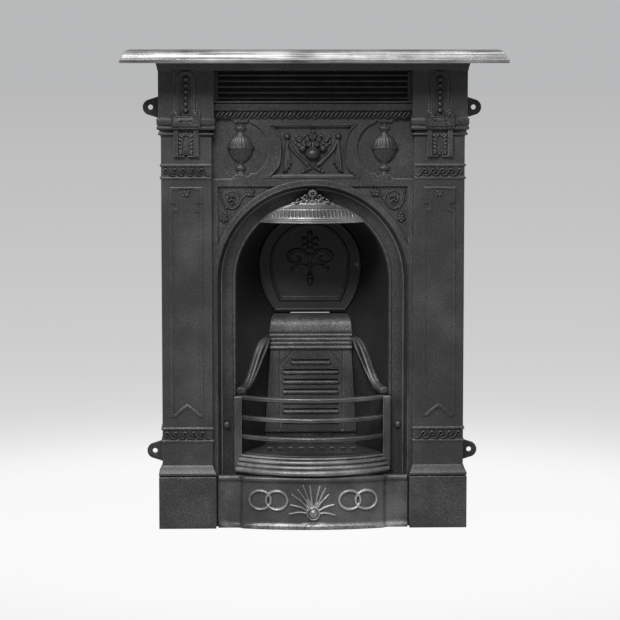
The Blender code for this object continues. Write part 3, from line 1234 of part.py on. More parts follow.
def main():
    for old in list(bpy.data.objects):
        bpy.data.objects.remove(old)
    parent = bpy.data.objects.new("wall_line", None)
    parent.location = (0, WALL_LINE_Y, 0)
    bpy.context.scene.collection.objects.link(parent)
    iron = material("black cast iron", (0.035, 0.035, 0.037), 0.5, 0.85)
    steel = material("polished cast iron", (0.32, 0.32, 0.33), 0.28, 1.0)
    rubbed = material("rubbed cast iron", (0.12, 0.12, 0.125), 0.4, 0.95)
    sooty = material("sooty cast iron", (0.02, 0.02, 0.021), 0.7, 0.6)
    surround(iron, parent)
    mantel_shelf(steel, parent)
    hood(steel, parent)
    back_casing(sooty, parent)
    flue_flap(sooty, parent)
    fireback(rubbed, parent)
    bottom_grate(sooty, parent)
    grate_front(rubbed, parent)
    ash_cover(rubbed, parent)
    for side in (-1, 1):
        cheek(side, iron, parent)
        bolt(side, rubbed, parent)
    bpy.context.view_layer.update()


main()
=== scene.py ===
# %% [markdown]
# # A black cast-iron fireplace with its grate
# The real object is a small combination fireplace: one iron front with pilasters, a frieze and an arched
# cove, a hood, a grate and an ash cover bolted behind and in front of it, and a loose shelf on top. The
# sizes come from the solid model, which is loaded here as a fixed frame. This lesson gives each casting its
# finish, then adds the fine relief that the solids leave out.

import math

import bmesh
import bpy
import numpy as np
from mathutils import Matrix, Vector


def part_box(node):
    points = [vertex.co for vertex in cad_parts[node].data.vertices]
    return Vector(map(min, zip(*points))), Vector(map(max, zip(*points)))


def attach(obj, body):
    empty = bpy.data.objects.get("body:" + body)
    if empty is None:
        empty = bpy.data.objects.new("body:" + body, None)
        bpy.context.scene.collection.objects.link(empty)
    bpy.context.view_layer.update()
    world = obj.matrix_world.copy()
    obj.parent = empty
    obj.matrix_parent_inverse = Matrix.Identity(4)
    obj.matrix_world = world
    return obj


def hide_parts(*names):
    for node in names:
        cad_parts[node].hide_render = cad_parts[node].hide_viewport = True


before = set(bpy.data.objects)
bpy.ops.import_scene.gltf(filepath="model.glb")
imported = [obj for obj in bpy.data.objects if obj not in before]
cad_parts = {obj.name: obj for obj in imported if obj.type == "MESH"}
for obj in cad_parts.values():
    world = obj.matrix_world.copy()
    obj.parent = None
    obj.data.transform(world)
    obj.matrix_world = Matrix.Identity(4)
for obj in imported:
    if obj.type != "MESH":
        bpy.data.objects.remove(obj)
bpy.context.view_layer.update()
MM = 0.001
print(len(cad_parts), "castings in the frame")

# %% [markdown]
# ## The camera
# A product photograph of a tall object is taken from some metres away with a long lens, so that its sides
# stay parallel. Here the lens stands five metres off, level with the shelf and a little to the left, and
# it looks slightly down, which shows the top of each ledge and a little more of the left side.

# %% Place the camera
CAMERA_PLACE = (-0.15, -4.969, 0.945)
CAMERA_DOWN = math.radians(5.83)
CAMERA_RIGHT = math.radians(1.68)
LENS, SENSOR, CLIP_END = 142.3, 36, 200


def nothing_selected():
    if bpy.context.object and bpy.context.object.mode != "OBJECT":
        bpy.ops.object.mode_set(mode="OBJECT")
    bpy.ops.object.select_all(action="DESELECT")


nothing_selected()
bpy.ops.object.camera_add(location=CAMERA_PLACE, rotation=(math.pi / 2 - CAMERA_DOWN, 0, -CAMERA_RIGHT))
camera = bpy.context.object
camera.data.lens = LENS
camera.data.sensor_width = SENSOR
camera.data.clip_end = CLIP_END
bpy.context.scene.camera = camera
bpy.context.scene.view_settings.view_transform = "Standard"
print("camera at", [round(v, 3) for v in camera.location])

# %% [markdown]
# ## Maths on shader sockets
# A material is a graph of nodes, and most of them only add or multiply. A small class wraps a socket and
# gives it Python's own operators, so that an expression such as `1 - mask * 0.5` adds its Math nodes.

# %% Wrap a socket
class Value:
    def __init__(self, graph, socket):
        self.graph = graph
        self.socket = socket

    def combine(self, operation, first, second):
        return self.graph.node("ShaderNodeMath", {"operation": operation}, [first, second])

    def __add__(self, other):
        return self.combine("ADD", self, other)

    def __sub__(self, other):
        return self.combine("SUBTRACT", self, other)

    def __rsub__(self, other):
        return self.combine("SUBTRACT", other, self)

    def __mul__(self, other):
        return self.combine("MULTIPLY", self, other)

    def __truediv__(self, other):
        return self.combine("DIVIDE", self, other)

    def __pow__(self, other):
        return self.combine("POWER", self, other)

    __radd__ = __add__
    __rmul__ = __mul__

    def least(self, other):
        return self.combine("MINIMUM", self, other)

    def most(self, other):
        return self.combine("MAXIMUM", self, other)

    def between(self, low, high):
        """0 below low, 1 above high and a smooth rise between."""
        settings = {"interpolation_type": "SMOOTHSTEP"}
        inputs = {"Value": self, "From Min": low, "From Max": high}
        return self.graph.node("ShaderNodeMapRange", settings, inputs)


class Graph:
    """The nodes of one material."""

    def __init__(self, name):
        self.material = bpy.data.materials.new(name)
        self.material.use_nodes = True
        self.nodes = self.material.node_tree.nodes
        self.links = self.material.node_tree.links
        self.shader = self.nodes["Principled BSDF"]

    def link(self, given, socket):
        if isinstance(given, Value):
            self.links.new(given.socket, socket)
        elif isinstance(given, bpy.types.NodeSocket):
            self.links.new(given, socket)
        else:
            socket.default_value = given

    def node(self, kind, settings=None, inputs=None, output=0):
        """Adds a node: its settings first, a ramp's stops among them, then its inputs by name or in order."""
        made = self.nodes.new(kind)
        for key, setting in (settings or {}).items():
            if key == "stops":
                ramp = made.color_ramp.elements
                while len(ramp) < len(setting):
                    ramp.new(0.5)
                for stop, (place, shade) in zip(ramp, setting):
                    stop.position = place
                    stop.color = (shade, shade, shade, 1)
            else:
                setattr(made, key, setting)
        pairs = inputs.items() if isinstance(inputs, dict) else enumerate(inputs or [])
        for key, given in pairs:
            self.link(given, made.inputs[key])
        return Value(self, made.outputs[output])

    def blend(self, share, first, second):
        """Two colours through a Mix node."""
        made = self.nodes.new("ShaderNodeMix")
        made.data_type = "RGBA"
        self.link(share, made.inputs[0])
        self.link(first, made.inputs[6])
        self.link(second, made.inputs[7])
        return Value(self, made.outputs[2])

    def vector(self, operation, first, second=None, output="Vector"):
        """A Vector Math node, with a link or a plain vector as its second operand."""
        made = self.nodes.new("ShaderNodeVectorMath")
        made.operation = operation
        self.link(first, made.inputs[0])
        if second is not None:
            self.link(second, made.inputs[1])
        return Value(self, made.outputs[output])

    def noise(self, place, scale, detail=4, roughness=0.6):
        return self.node("ShaderNodeTexNoise", None,
                         {"Vector": place, "Scale": scale, "Detail": detail, "Roughness": roughness})


print("shader maths ready")

# %% [markdown]
# ## Black-leaded iron
# The castings are grey iron with a sandy skin from the mould, rubbed with graphite polish. The polish is
# near black, with a soft grey sheen, and it wears through on edges and on the high spots of the carving.
# One function mixes every finish from the same parts: a sandy bump, a patchy sheen, brighter edges that are
# partly rubbed wear and partly painted highlight, and painted shade that darkens the hollows.

# %% Mix the iron finishes
SAND_SCALE, PIT_SCALE, GRAIN_SCALE, PATCH_SCALE = 620, 190, 420, 9
BRUSH_SCALES = (7, 330, 330)
EDGE_WIDTH = 2.2 * MM
# How far the ambient occlusion reaches when it paints shade into the hollows.
PAINTED_SHADE_REACH = 14 * MM
BUMP_DEPTH = 0.45 * MM
SPECULAR = 0.3


def grey(level):
    return (level, level, level * 1.01, 1)


def iron(name, dark, bright, roughness, metallic=0.35, edge_wear_and_highlight=0.5, sand=0.25, pits=0.2, hollow_painted_shade=0.6, sheen=0.12,
         brushed=0, grain=0.8, foot_wear=0):
    """A cast-iron finish. The wear setting is how far the edges are brightened, partly rubbed wear and partly
    painted highlight; the hollow setting is how much painted shade darkens the recesses; foot_wear is the height
    of a scuffed foot. brushed draws the patches out along the piece."""
    g = Graph(name)
    place = g.node("ShaderNodeTexCoord", output=3)
    sandy = g.noise(place, SAND_SCALE, 3, 0.6)
    pitted = g.noise(place, PIT_SCALE, 5, 0.65)
    patchy = g.noise(place, PATCH_SCALE, 4, 0.6)
    if brushed:
        patchy = (g.noise(g.vector("MULTIPLY", place, BRUSH_SCALES), 1, 3, 0.5) + patchy) * 0.5
    true_normal = g.node("ShaderNodeNewGeometry", output=1)
    round_normal = g.node("ShaderNodeBevel", {"samples": 6}, {"Radius": EDGE_WIDTH})
    # The edge mask brightens the colour along every arris: partly rubbed wear, partly a painted highlight.
    edge = (1 - g.vector("DOT_PRODUCT", true_normal, round_normal, "Value")).between(0.015, 0.2)
    open_sky = g.node("ShaderNodeAmbientOcclusion", {"samples": 6, "only_local": False},
                      {"Distance": PAINTED_SHADE_REACH}, output=1)
    # The brightened edges are rubbed wear with a painted highlight, and on the ash cover a scuffed foot is added.
    wear_and_highlight = edge * edge_wear_and_highlight * patchy.between(0.25, 0.55) * pitted.between(0.25, 0.5)
    if foot_wear:
        height = g.node("ShaderNodeSeparateXYZ", None, [place], output=2)
        scuffed = 1 - height.between(foot_wear * 0.4, foot_wear)
        wear_and_highlight = (wear_and_highlight + scuffed * patchy.between(0.3, 0.6) * pitted.between(0.3, 0.6) * 0.4).least(1)
    # Painted shade: where ambient occlusion finds a hollow, the colour darkens towards near black and the iron
    # turns rougher and less metallic.
    deep = (1 - open_sky.between(0.2, 0.9)) * hollow_painted_shade
    grains = (g.noise(place, GRAIN_SCALE, 5, 0.75) - 0.5) * grain
    rubbed_and_highlit = (wear_and_highlight + patchy.between(0.3 if brushed else 0.35, 0.75) * sheen + grains).most(0).least(1)
    colour = g.blend(rubbed_and_highlit, grey(dark), grey(bright))
    colour = g.blend(deep, colour, grey(dark * 0.15))
    g.link(colour, g.shader.inputs["Base Color"])
    rough = roughness + deep * 0.3 + (sandy - 0.5) * 0.16 - wear_and_highlight * 0.12
    g.link(rough.least(0.95), g.shader.inputs["Roughness"])
    g.link((metallic + wear_and_highlight * 0.4 - deep * 0.4).most(0).least(1), g.shader.inputs["Metallic"])
    relief = sandy * sand + pitted.between(0.25, 0.45) * pits
    bump = g.node("ShaderNodeBump", None, {"Strength": 0.55, "Distance": BUMP_DEPTH, "Height": relief,
                                           "Normal": round_normal})
    g.link(bump, g.shader.inputs["Normal"])
    g.shader.inputs["Specular IOR Level"].default_value = SPECULAR
    return g.material


MIXES = {
    "black_iron": dict(dark=0.013, bright=0.20, roughness=0.44, metallic=0.25, edge_wear_and_highlight=0.55, hollow_painted_shade=0.95, grain=1.1),
    "shelf_iron": dict(dark=0.008, bright=0.22, roughness=0.36, metallic=0.55, edge_wear_and_highlight=0.7, sheen=1.0, hollow_painted_shade=0.9,
                       brushed=1, grain=0.6),
    "hood_iron": dict(dark=0.034, bright=0.42, roughness=0.38, metallic=0.4, edge_wear_and_highlight=0.95, sheen=0.3, hollow_painted_shade=1.0,
                      grain=1.0),
    # The casing and flap finishes are soot-dark, and darker still as painted shade inside the firebox and under
    # the hood.
    "sooty_iron": dict(dark=0.005, bright=0.05, roughness=0.65, metallic=0.1, edge_wear_and_highlight=0.35, sheen=0.06, hollow_painted_shade=0.8),
    "flap_iron": dict(dark=0.005, bright=0.2, roughness=0.55, metallic=0.1, edge_wear_and_highlight=0.9, sheen=0.04, hollow_painted_shade=0.6,
                      grain=0.2),
    "fireback_iron": dict(dark=0.014, bright=0.23, roughness=0.46, metallic=0.35, edge_wear_and_highlight=0.8, sheen=0.2, pits=1.0,
                          sand=0.5, hollow_painted_shade=0.95, grain=2.0),
    "rail_iron": dict(dark=0.024, bright=0.28, roughness=0.40, metallic=0.35, edge_wear_and_highlight=0.9, sheen=0.2, pits=0.4,
                      hollow_painted_shade=0.95),
    "rubbed_iron": dict(dark=0.02, bright=0.32, roughness=0.40, metallic=0.4, edge_wear_and_highlight=0.95, sheen=0.2, pits=0.45,
                        hollow_painted_shade=0.95),
    # The skirt's finish is polished iron made much lighter, with painted highlight for the light on its up-turned
    # rolls; the ash sun shares it.
    "skirt_highlit_iron": dict(dark=0.07, bright=0.75, roughness=0.36, metallic=0.5, edge_wear_and_highlight=1.0, sheen=0.3, pits=0.4,
                       hollow_painted_shade=0.6),
    "ash_iron": dict(dark=0.026, bright=0.40, roughness=0.40, metallic=0.4, edge_wear_and_highlight=1.0, sheen=0.12, pits=0.3,
                     hollow_painted_shade=0.9, grain=0.4, foot_wear=0.016),
}
FINISHES = {name: iron(name, **mix) for name, mix in MIXES.items()}
print(len(FINISHES), "finishes mixed")

# %% [markdown]
# ## Put a finish on a piece
# The record of the object knows four finishes of iron, and the finishes here are shades of them. A piece
# takes its material and is hung on the body that carries it.


def put_on(piece, finish, body="fireplace"):
    """Gives a piece its material and the body that carries it."""
    piece.data.materials.append(FINISHES[finish])
    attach(piece, body)


# %% [markdown]
# ## Dress the castings
# The solids come in as loose triangles. A copy of each is merged into one surface and shaded smooth up to
# an angle, so that its rounds look round and its arrises stay sharp, and it takes the solid's place.

# %% Copy and merge
WELD = 0.02 * MM
FINISH_OF = {
    "surround": "black_iron", "mantel_shelf": "shelf_iron", "hood": "hood_iron",
    "back_casing": "sooty_iron", "flue_flap": "sooty_iron", "fireback": "fireback_iron",
    "cheek_left": "black_iron", "cheek_right": "black_iron", "bottom_grate": "rail_iron",
    "grate_front": "rubbed_iron", "ash_cover": "ash_iron", "bolt_left": "rubbed_iron",
    "bolt_right": "rubbed_iron",
}


def pick(piece):
    """Makes the piece the only selected object."""
    nothing_selected()
    piece.select_set(True)
    bpy.context.view_layer.objects.active = piece


def add_object(name, mesh):
    made = bpy.data.objects.new(name, mesh)
    bpy.context.scene.collection.objects.link(made)
    pick(made)
    return made


def edit_whole():
    bpy.ops.object.mode_set(mode="EDIT")
    bpy.ops.mesh.select_all(action="SELECT")


def dress(node):
    piece = add_object(node + "_casting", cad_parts[node].data.copy())
    edit_whole()
    bpy.ops.mesh.remove_doubles(threshold=WELD)
    bpy.ops.object.mode_set(mode="OBJECT")
    piece.data.materials.clear()
    put_on(piece, FINISH_OF[node], "flap" if node == "flue_flap" else "fireplace")
    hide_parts(node)
    return piece


castings = {node: dress(node) for node in FINISH_OF}
print("dressed", len(castings), "castings")

# %% [markdown]
# ## Clear the ground for the fine carving
# The solids carry the carving in a coarse form, enough for its outline and its weight. Each carved field is
# cut flush with its ground on the copy, by a Boolean with a box or a prism just in front of that ground,
# and the fine carving is then set on the bare field. The field itself and its frame stay as they are.

# %% Cut a carved field flush
WALL_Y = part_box("surround")[1][1]
CUT_REACH = 24 * MM
FLUSH = 0.03 * MM


def in_front(distance):
    """The y of a plane this many millimetres in front of the wall line."""
    return WALL_Y - distance * MM


def prism(name, outline, distance, reach=CUT_REACH):
    """A closed prism over an outline (x, z) in millimetres, standing in front of a plane."""
    mesh = bpy.data.meshes.new(name)
    shape = bmesh.new()
    y = in_front(distance) - FLUSH
    face = shape.faces.new([shape.verts.new((x * MM, y, z * MM)) for x, z in outline])
    moved = bmesh.ops.extrude_face_region(shape, geom=[face])["geom"]
    bmesh.ops.translate(shape, verts=[v for v in moved if isinstance(v, bmesh.types.BMVert)], vec=(0, -reach, 0))
    bmesh.ops.recalc_face_normals(shape, faces=shape.faces)
    shape.to_mesh(mesh)
    shape.free()
    return add_object(name, mesh)


def cut_flush(piece, cutters):
    for cutter in cutters:
        modifier = piece.modifiers.new("flush", "BOOLEAN")
        modifier.operation = "DIFFERENCE"
        modifier.solver = "MANIFOLD"
        modifier.object = cutter
        bpy.context.view_layer.objects.active = piece
        bpy.ops.object.modifier_apply(modifier=modifier.name)
        bpy.data.objects.remove(cutter)


def smooth_path(points, steps=8):
    """A smooth curve through the points (x, z)."""
    ends = [points[0], *points, points[-1]]
    path = []
    for i in range(len(points) - 1):
        a, b, c, d = (Vector(p) for p in ends[i:i + 4])
        for step in range(steps):
            t = step / steps
            path.append(0.5 * (2 * b + (c - a) * t + (2 * a - 5 * b + 4 * c - d) * t * t
                               + (3 * b - a - 3 * c + d) * t ** 3))
    return [tuple(p) for p in path] + [tuple(points[-1])]


def arc_points(centre, radius, start, end, steps=12, tall=None):
    tall = radius if tall is None else tall
    turns = [math.radians(start + (end - start) * i / steps) for i in range(steps + 1)]
    return [(centre[0] + radius * math.cos(t), centre[1] + tall * math.sin(t)) for t in turns]


def both_sides(points):
    return points + [(-x, z) for x, z in reversed(points)]


SIDES = ((-1, "left"), (1, "right"))
print("wall line at y =", round(WALL_Y, 5))

# %% [markdown]
# ## Carve a relief
# Low relief is a height over a ground: petals, stems and folds that rise from a field and never undercut
# it. It could be sculpted, or built from many small solids. Here a fine grid is laid over the field, each
# stroke, ball or leaf of the pattern says how high it stands at every point of the grid, and the highest
# one wins. Grid cells that stay on the ground are deleted, and the edge is sunk into the iron and closed.

# %% Heights of strokes, balls and leaves
CELL = 0.7
UNDER_LEAF = 0.25       # what still shows of a height that a leaf covers
PETALS = 5


class Relief:
    """Heights in millimetres over a field, on a grid in the field's own millimetres."""

    def __init__(self, left, right, foot, top, cell=CELL):
        self.columns = int(math.ceil((right - left) / cell)) + 1
        self.rows = int(math.ceil((top - foot) / cell)) + 1
        across = np.linspace(left, right, self.columns)
        upward = np.linspace(foot, top, self.rows)
        self.x, self.z = np.meshgrid(across, upward)
        self.height = np.zeros_like(self.x)

    def raise_to(self, height):
        self.height = np.maximum(self.height, height)

    def lay_over(self, height):
        """Covers what lies under it, as a leaf covers a stem."""
        self.height = np.where(height > 0.02, np.maximum(height, self.height * UNDER_LEAF), self.height)

    def ball(self, x, z, radius, height, tall=None):
        tall = tall or radius
        reach = 1 - ((self.x - x) / radius) ** 2 - ((self.z - z) / tall) ** 2
        self.raise_to(height * np.clip(reach, 0, 1) ** 0.5)

    def stroke(self, points, width, height, taper=None):
        """A rounded band along the points; taper gives its share of the width and height from 0 to 1."""
        best = np.zeros_like(self.x)
        count = len(points) - 1
        for i, ((x0, z0), (x1, z1)) in enumerate(zip(points, points[1:])):
            dx, dz = x1 - x0, z1 - z0
            long = dx * dx + dz * dz
            if long == 0:
                continue
            along = np.clip(((self.x - x0) * dx + (self.z - z0) * dz) / long, 0, 1)
            away = np.hypot(self.x - x0 - along * dx, self.z - z0 - along * dz)
            share = (i + along) / count
            size = np.ones_like(share) if taper is None else taper(share)
            half = np.maximum(0.05, size * width / 2)
            best = np.maximum(best, height * size * np.clip(1 - (away / half) ** 2, 0, 1) ** 0.5)
        self.raise_to(best)

    def leaf(self, root, tip, width, height, lobes=3):
        """A lobed leaf with a midrib and veins, from its root to its tip."""
        dx, dz = tip[0] - root[0], tip[1] - root[1]
        long = math.hypot(dx, dz)
        along = ((self.x - root[0]) * dx + (self.z - root[1]) * dz) / long / long
        across = ((self.x - root[0]) * -dz + (self.z - root[1]) * dx) / long
        inside = np.clip(along, 0.001, 0.999)
        body = np.sin(np.pi * inside ** 0.75) ** 0.8
        scallop = 0.72 + 0.28 * np.abs(np.sin(np.pi * lobes * (inside - np.abs(across) / long * 0.7)))
        half = width / 2 * body * scallop
        ratio = np.abs(across) / np.maximum(half, 0.05)
        dome = np.clip(1 - ratio ** 2, 0, 1) ** 0.5
        veins = 0.8 + 0.2 * np.cos(2 * np.pi * lobes * (inside - np.abs(across) / long * 0.7) + np.pi)
        rib = 1 - 0.35 * np.exp(-(across / (0.09 * width)) ** 2)
        self.lay_over(height * dome * veins * rib * ((along > 0) & (along < 1)))

    def flower(self, x, z, radius, height, turn):
        """Petals round a small heart, each a ball of its own."""
        for i in range(PETALS):
            t = turn + 2 * math.pi * i / PETALS
            self.ball(x + radius * 0.62 * math.cos(t), z + radius * 0.62 * math.sin(t), radius * 0.42, height)
        self.ball(x, z, radius * 0.3, height * 1.2)


print("relief grid of", CELL, "mm ready")

# %% [markdown]
# ## Set a relief on its ground
# The heights become a mesh through a ground: a function that says where each point of the field lies on the
# iron, upright on the frieze, leaning on the flap or bowed on the ash cover. The bare cells go, and the open
# edge is extruded into the iron and filled, so that every relief is a closed piece.

# %% Turn heights into a piece
BARE_BELOW = 0.03
RELIEF_SMOOTH = 60


def complete(piece, smooth, finish, body="fireplace"):
    """Turns the faces outward, shades them smooth up to an angle in degrees and puts the finish on."""
    bpy.ops.mesh.select_all(action="SELECT")
    bpy.ops.mesh.normals_make_consistent(inside=False)
    bpy.ops.object.mode_set(mode="OBJECT")
    bpy.ops.object.shade_smooth_by_angle(angle=math.radians(smooth), keep_sharp_edges=False)
    put_on(piece, finish, body)
    print(piece.name, len(piece.data.polygons), "faces")


def open_edge():
    """Selects the open edge of the mesh in edit mode."""
    bpy.ops.mesh.select_all(action="DESELECT")
    bpy.ops.mesh.select_non_manifold(extend=False, use_wire=False, use_boundary=True, use_multi_face=False,
                                     use_non_contiguous=False, use_verts=False)


def set_on(name, relief, ground, finish, body="fireplace", sink=1.2):
    """Makes the relief a mesh. ground(x, z, height) gives its points in metres from arrays in millimetres."""
    nothing_selected()
    bpy.ops.mesh.primitive_grid_add(x_subdivisions=relief.columns - 1, y_subdivisions=relief.rows - 1, size=1)
    piece = bpy.context.object
    piece.name = piece.data.name = name
    height = relief.height.ravel()
    points = ground(relief.x.ravel(), relief.z.ravel(), height)
    piece.data.vertices.foreach_set("co", np.stack(points, 1).astype(np.float32).ravel())
    flat = height < BARE_BELOW
    corners = np.empty(len(piece.data.polygons) * 4, np.int32)
    piece.data.polygons.foreach_get("vertices", corners)
    bare = flat[corners.reshape(-1, 4)].all(1)
    bpy.ops.object.mode_set(mode="EDIT")
    bpy.ops.mesh.select_mode(type="FACE")
    bpy.ops.mesh.select_all(action="DESELECT")
    bpy.ops.object.mode_set(mode="OBJECT")
    piece.data.polygons.foreach_set("select", bare)
    bpy.ops.object.mode_set(mode="EDIT")
    bpy.ops.mesh.delete(type="FACE")
    bpy.ops.mesh.select_all(action="SELECT")
    bpy.ops.mesh.normals_make_consistent(inside=False)
    bpy.ops.mesh.select_mode(type="EDGE")
    open_edge()
    bpy.ops.mesh.extrude_region_move(TRANSFORM_OT_translate={"value": sink_way(ground, sink)})
    open_edge()
    bpy.ops.mesh.fill_holes(sides=0)
    complete(piece, RELIEF_SMOOTH, finish, body)


def sink_way(ground, depth):
    """The way into the iron, behind the ground."""
    one = np.zeros(1)
    low = np.array([v[0] for v in ground(one, one, one)])
    high = np.array([v[0] for v in ground(one, one, one + 1)])
    into = low - high
    return tuple(into / np.linalg.norm(into) * depth * MM)


def upright(distance, middle=0.0, side=1, foot=0.0):
    """A ground that faces the room, this far in front of the wall; side -1 mirrors the relief."""
    def ground(x, z, height):
        return (middle + side * x) * MM, in_front(distance) - height * MM, (z + foot) * MM
    return ground


print("grounds ready")

# %% [markdown]
# ## The frieze: fruit and drapery
# Between the two urns hangs a cloth from two round knobs, crossed under a heap of fruit with three leaves.
# The drapery is several folds side by side, each a rounded band that swells in the middle.

# %% Carve the middle panel
FIELD = 38.0
PLATE = 44.0
FRIEZE_TOP = 829.2
PANEL_SHAPE = [(77.0, 810.6), (68, 795), (61.0, 763), (66, 735), (82.2, 715.8)]
PANEL_BOLDNESS = 1.35


def swelling(low=0.45, high=1.0):
    return lambda t: low + (high - low) * np.sin(np.pi * t)


panel = Relief(-72, 72, 709, 817)
for side in (-1, 1):
    knob = (side * 51.4, 792)
    for shift, width in ((-4.2, 4.2), (0, 5.0), (4.4, 4.2)):
        swag = smooth_path([(side * 50.5, 786), (side * (39.5 - shift * 0.5), 764 - shift * 0.3),
                            (side * (23 - shift * 0.6), 746.5 - shift),
                            (side * (3.5 - shift * 0.3), 731.5 - shift)])
        panel.stroke(swag, width, 5.4, swelling(0.5))
    for shift, low, reach in ((-5.2, 722, 4.6), (0, 724, 5.2), (5.4, 731, 4.4), (9.6, 738, 3.6)):
        tail = smooth_path([(side * 51.4, 787), (side * (52.2 - shift * 0.35), 765), (side * (52.6 - shift), low)])
        panel.stroke(tail, reach * 1.25, 4.6, lambda t: 0.45 + 0.55 * t)
    panel.ball(*knob, 6.4, 7.0)
    panel.leaf((side * 1, 732), (side * 24, 719.5), 9, 5.0)
    panel.leaf((side * 12, 771), (side * 37, 796), 15, 6.5)
    panel.leaf((side * 14, 768), (side * 38, 781), 10, 5.5)
    panel.ball(side * 20.5, 768, 8.0, 9.5)
panel.leaf((0, 766), (0, 808), 23, 8.5)
panel.leaf((-4, 768), (-17, 799), 15, 7.2)
panel.leaf((4, 768), (17, 799), 15, 7.2)
panel.ball(0, 757.5, 16.0, 13.0, tall=13.2)
panel.height *= PANEL_BOLDNESS
set_on("frieze_drapery", panel, upright(FIELD), "black_iron")

# %% [markdown]
# ## The urns
# Each urn is half of a turned shape, flattened against its field, with a fluted upper bowl and a rim round
# its widest part. A turned shape is drawn as half of its section and spun round its axis.

# %% Spin the urns
URN_X = 144.6
URN_SECTION = ((3.2, 4.8), (5.9, 8.4), (5.6, 10.4), (3.4, 13.6), (3.6, 16), (10.6, 17.8), (11.5, 19.5),
               (11.4, 22.6), (10.2, 24.4), (6.2, 26.4), (5.9, 31), (8, 33.2), (14.5, 38), (20.4, 44.5),
               (24, 51.5), (25, 57), (27.9, 58.3), (28.3, 60.3), (27.6, 62.4), (25.2, 63.4), (24.8, 67),
               (22.9, 73), (19.2, 79.5), (13.6, 85.5), (8.6, 88.8), (5.2, 91), (5.2, 95.2), (10.4, 97.6),
               (11.6, 99.6), (11.4, 103.2), (9.6, 105), (5.4, 106.6), (6.4, 110), (8.6, 116))
URN_FLATTEN = 0.5
URN_FLUTES = 9
UPPER_FLUTES, LOWER_FLUTES = (33, 58), (64, 88)
SUNK_TURN = math.radians(20)        # how far each edge of the half urn turns into the field


def spin_urn(name, side):
    mesh = bpy.data.meshes.new(name)
    rows = [(radius * MM, 0, (FRIEZE_TOP - drop) * MM) for radius, drop in URN_SECTION]
    mesh.from_pydata(rows, [(i, i + 1) for i in range(len(rows) - 1)], [])
    urn = add_object(name, mesh)
    edit_whole()
    bpy.ops.mesh.spin(steps=72, angle=math.pi + 2 * SUNK_TURN, center=(0, 0, 0), axis=(0, 0, 1))
    bpy.ops.object.mode_set(mode="OBJECT")
    for vertex in mesh.vertices:
        x, y, z = vertex.co
        radius = math.hypot(x, y)
        angle = math.atan2(y, x) + SUNK_TURN
        groove = abs(math.cos(angle * URN_FLUTES)) ** 8
        drop = FRIEZE_TOP - z / MM
        share = (drop - UPPER_FLUTES[0]) / (UPPER_FLUTES[1] - UPPER_FLUTES[0])
        if 0 < share < 1:
            radius *= 1 - 0.10 * groove * math.sin(math.pi * share) ** 0.5
        elif LOWER_FLUTES[0] < drop < LOWER_FLUTES[1]:
            radius *= 1 - 0.05 * groove
        vertex.co = (side * (URN_X * MM) + radius * math.cos(angle),
                     in_front(FIELD) + radius * math.sin(angle) * URN_FLATTEN, z)
    bpy.ops.object.mode_set(mode="EDIT")
    bpy.ops.mesh.select_all(action="DESELECT")
    bpy.ops.mesh.select_non_manifold(extend=False)
    bpy.ops.mesh.fill_holes(sides=0)
    complete(urn, 42, "black_iron")


for side, hand in SIDES:
    spin_urn("urn_" + hand, side)

# %% [markdown]
# ## The spandrels
# A vine springs from each corner beside the arch: one open scroll round a curled rosette, with a branch to
# either side that ends in a small bunch of flowers.

# %% Carve the spandrels
SPANDREL_SHAPE = [(-190.2, 691.5), (-190.2, 575), (-185, 589), (-176, 607), (-160, 630.5), (-140, 652.8),
                  (-118, 671.8), (-96, 686), (-84, 691.5)]

vine = Relief(-190.6, -112, 598, 691.9)
stem = smooth_path([(-185.5, 681), (-184, 672), (-182, 661.7), (-175.3, 652.3), (-164.2, 647.4), (-153, 651),
                    (-145.6, 661.7), (-146.3, 673.5), (-154.5, 681.2), (-165.8, 682.4), (-173.8, 676.4)])
vine.stroke(stem, 4.4, 4.6, lambda t: 0.65 + 0.35 * np.sin(np.pi * np.clip(t * 1.1, 0, 1)))
for points in ([(-145.4, 664), (-139.1, 671.4), (-132, 676.5)], [(-178, 655), (-174.2, 645.3), (-175, 635)]):
    vine.stroke(smooth_path(points), 3.6, 3.8)
vine.ball(-184.6, 681.6, 3.4, 4.2)
for turn in (40, 160, 280):
    t = math.radians(turn)
    curl = arc_points((-163.8 + 4.2 * math.cos(t), 665.6 + 4.2 * math.sin(t)), 4.6, turn - 60, turn + 170, 9)
    vine.stroke(curl, 3.6, 5.4, lambda s: 0.6 + 0.4 * np.sin(np.pi * s))
vine.ball(-163.8, 665.6, 3.0, 6.2)
vine.flower(-125.9, 679.4, 9.2, 5.2, turn=0.4)
vine.flower(-178.4, 627.4, 8.6, 5.2, turn=0.9)
vine.ball(-177.8, 637.6, 3.4, 4.6)
for name, side in (("spandrel_left", 1), ("spandrel_right", -1)):
    set_on(name, vine, upright(FIELD, side=side), "black_iron")

# %% [markdown]
# ## The scroll bands and the rope
# A running scroll, one wave after another, fills the band between two fillets at both ends of each
# pilaster. The wave is drawn once and repeated. The rope under the louvres is a row of slanting strands.

# %% Carve the bands
SHAFT = 60.0
PILASTER_X = 253.75
BAND_HALF = 46.0
BAND_FOOTS = (175.7, 707.2)
BAND_TALL = 30.0
WAVES = 5

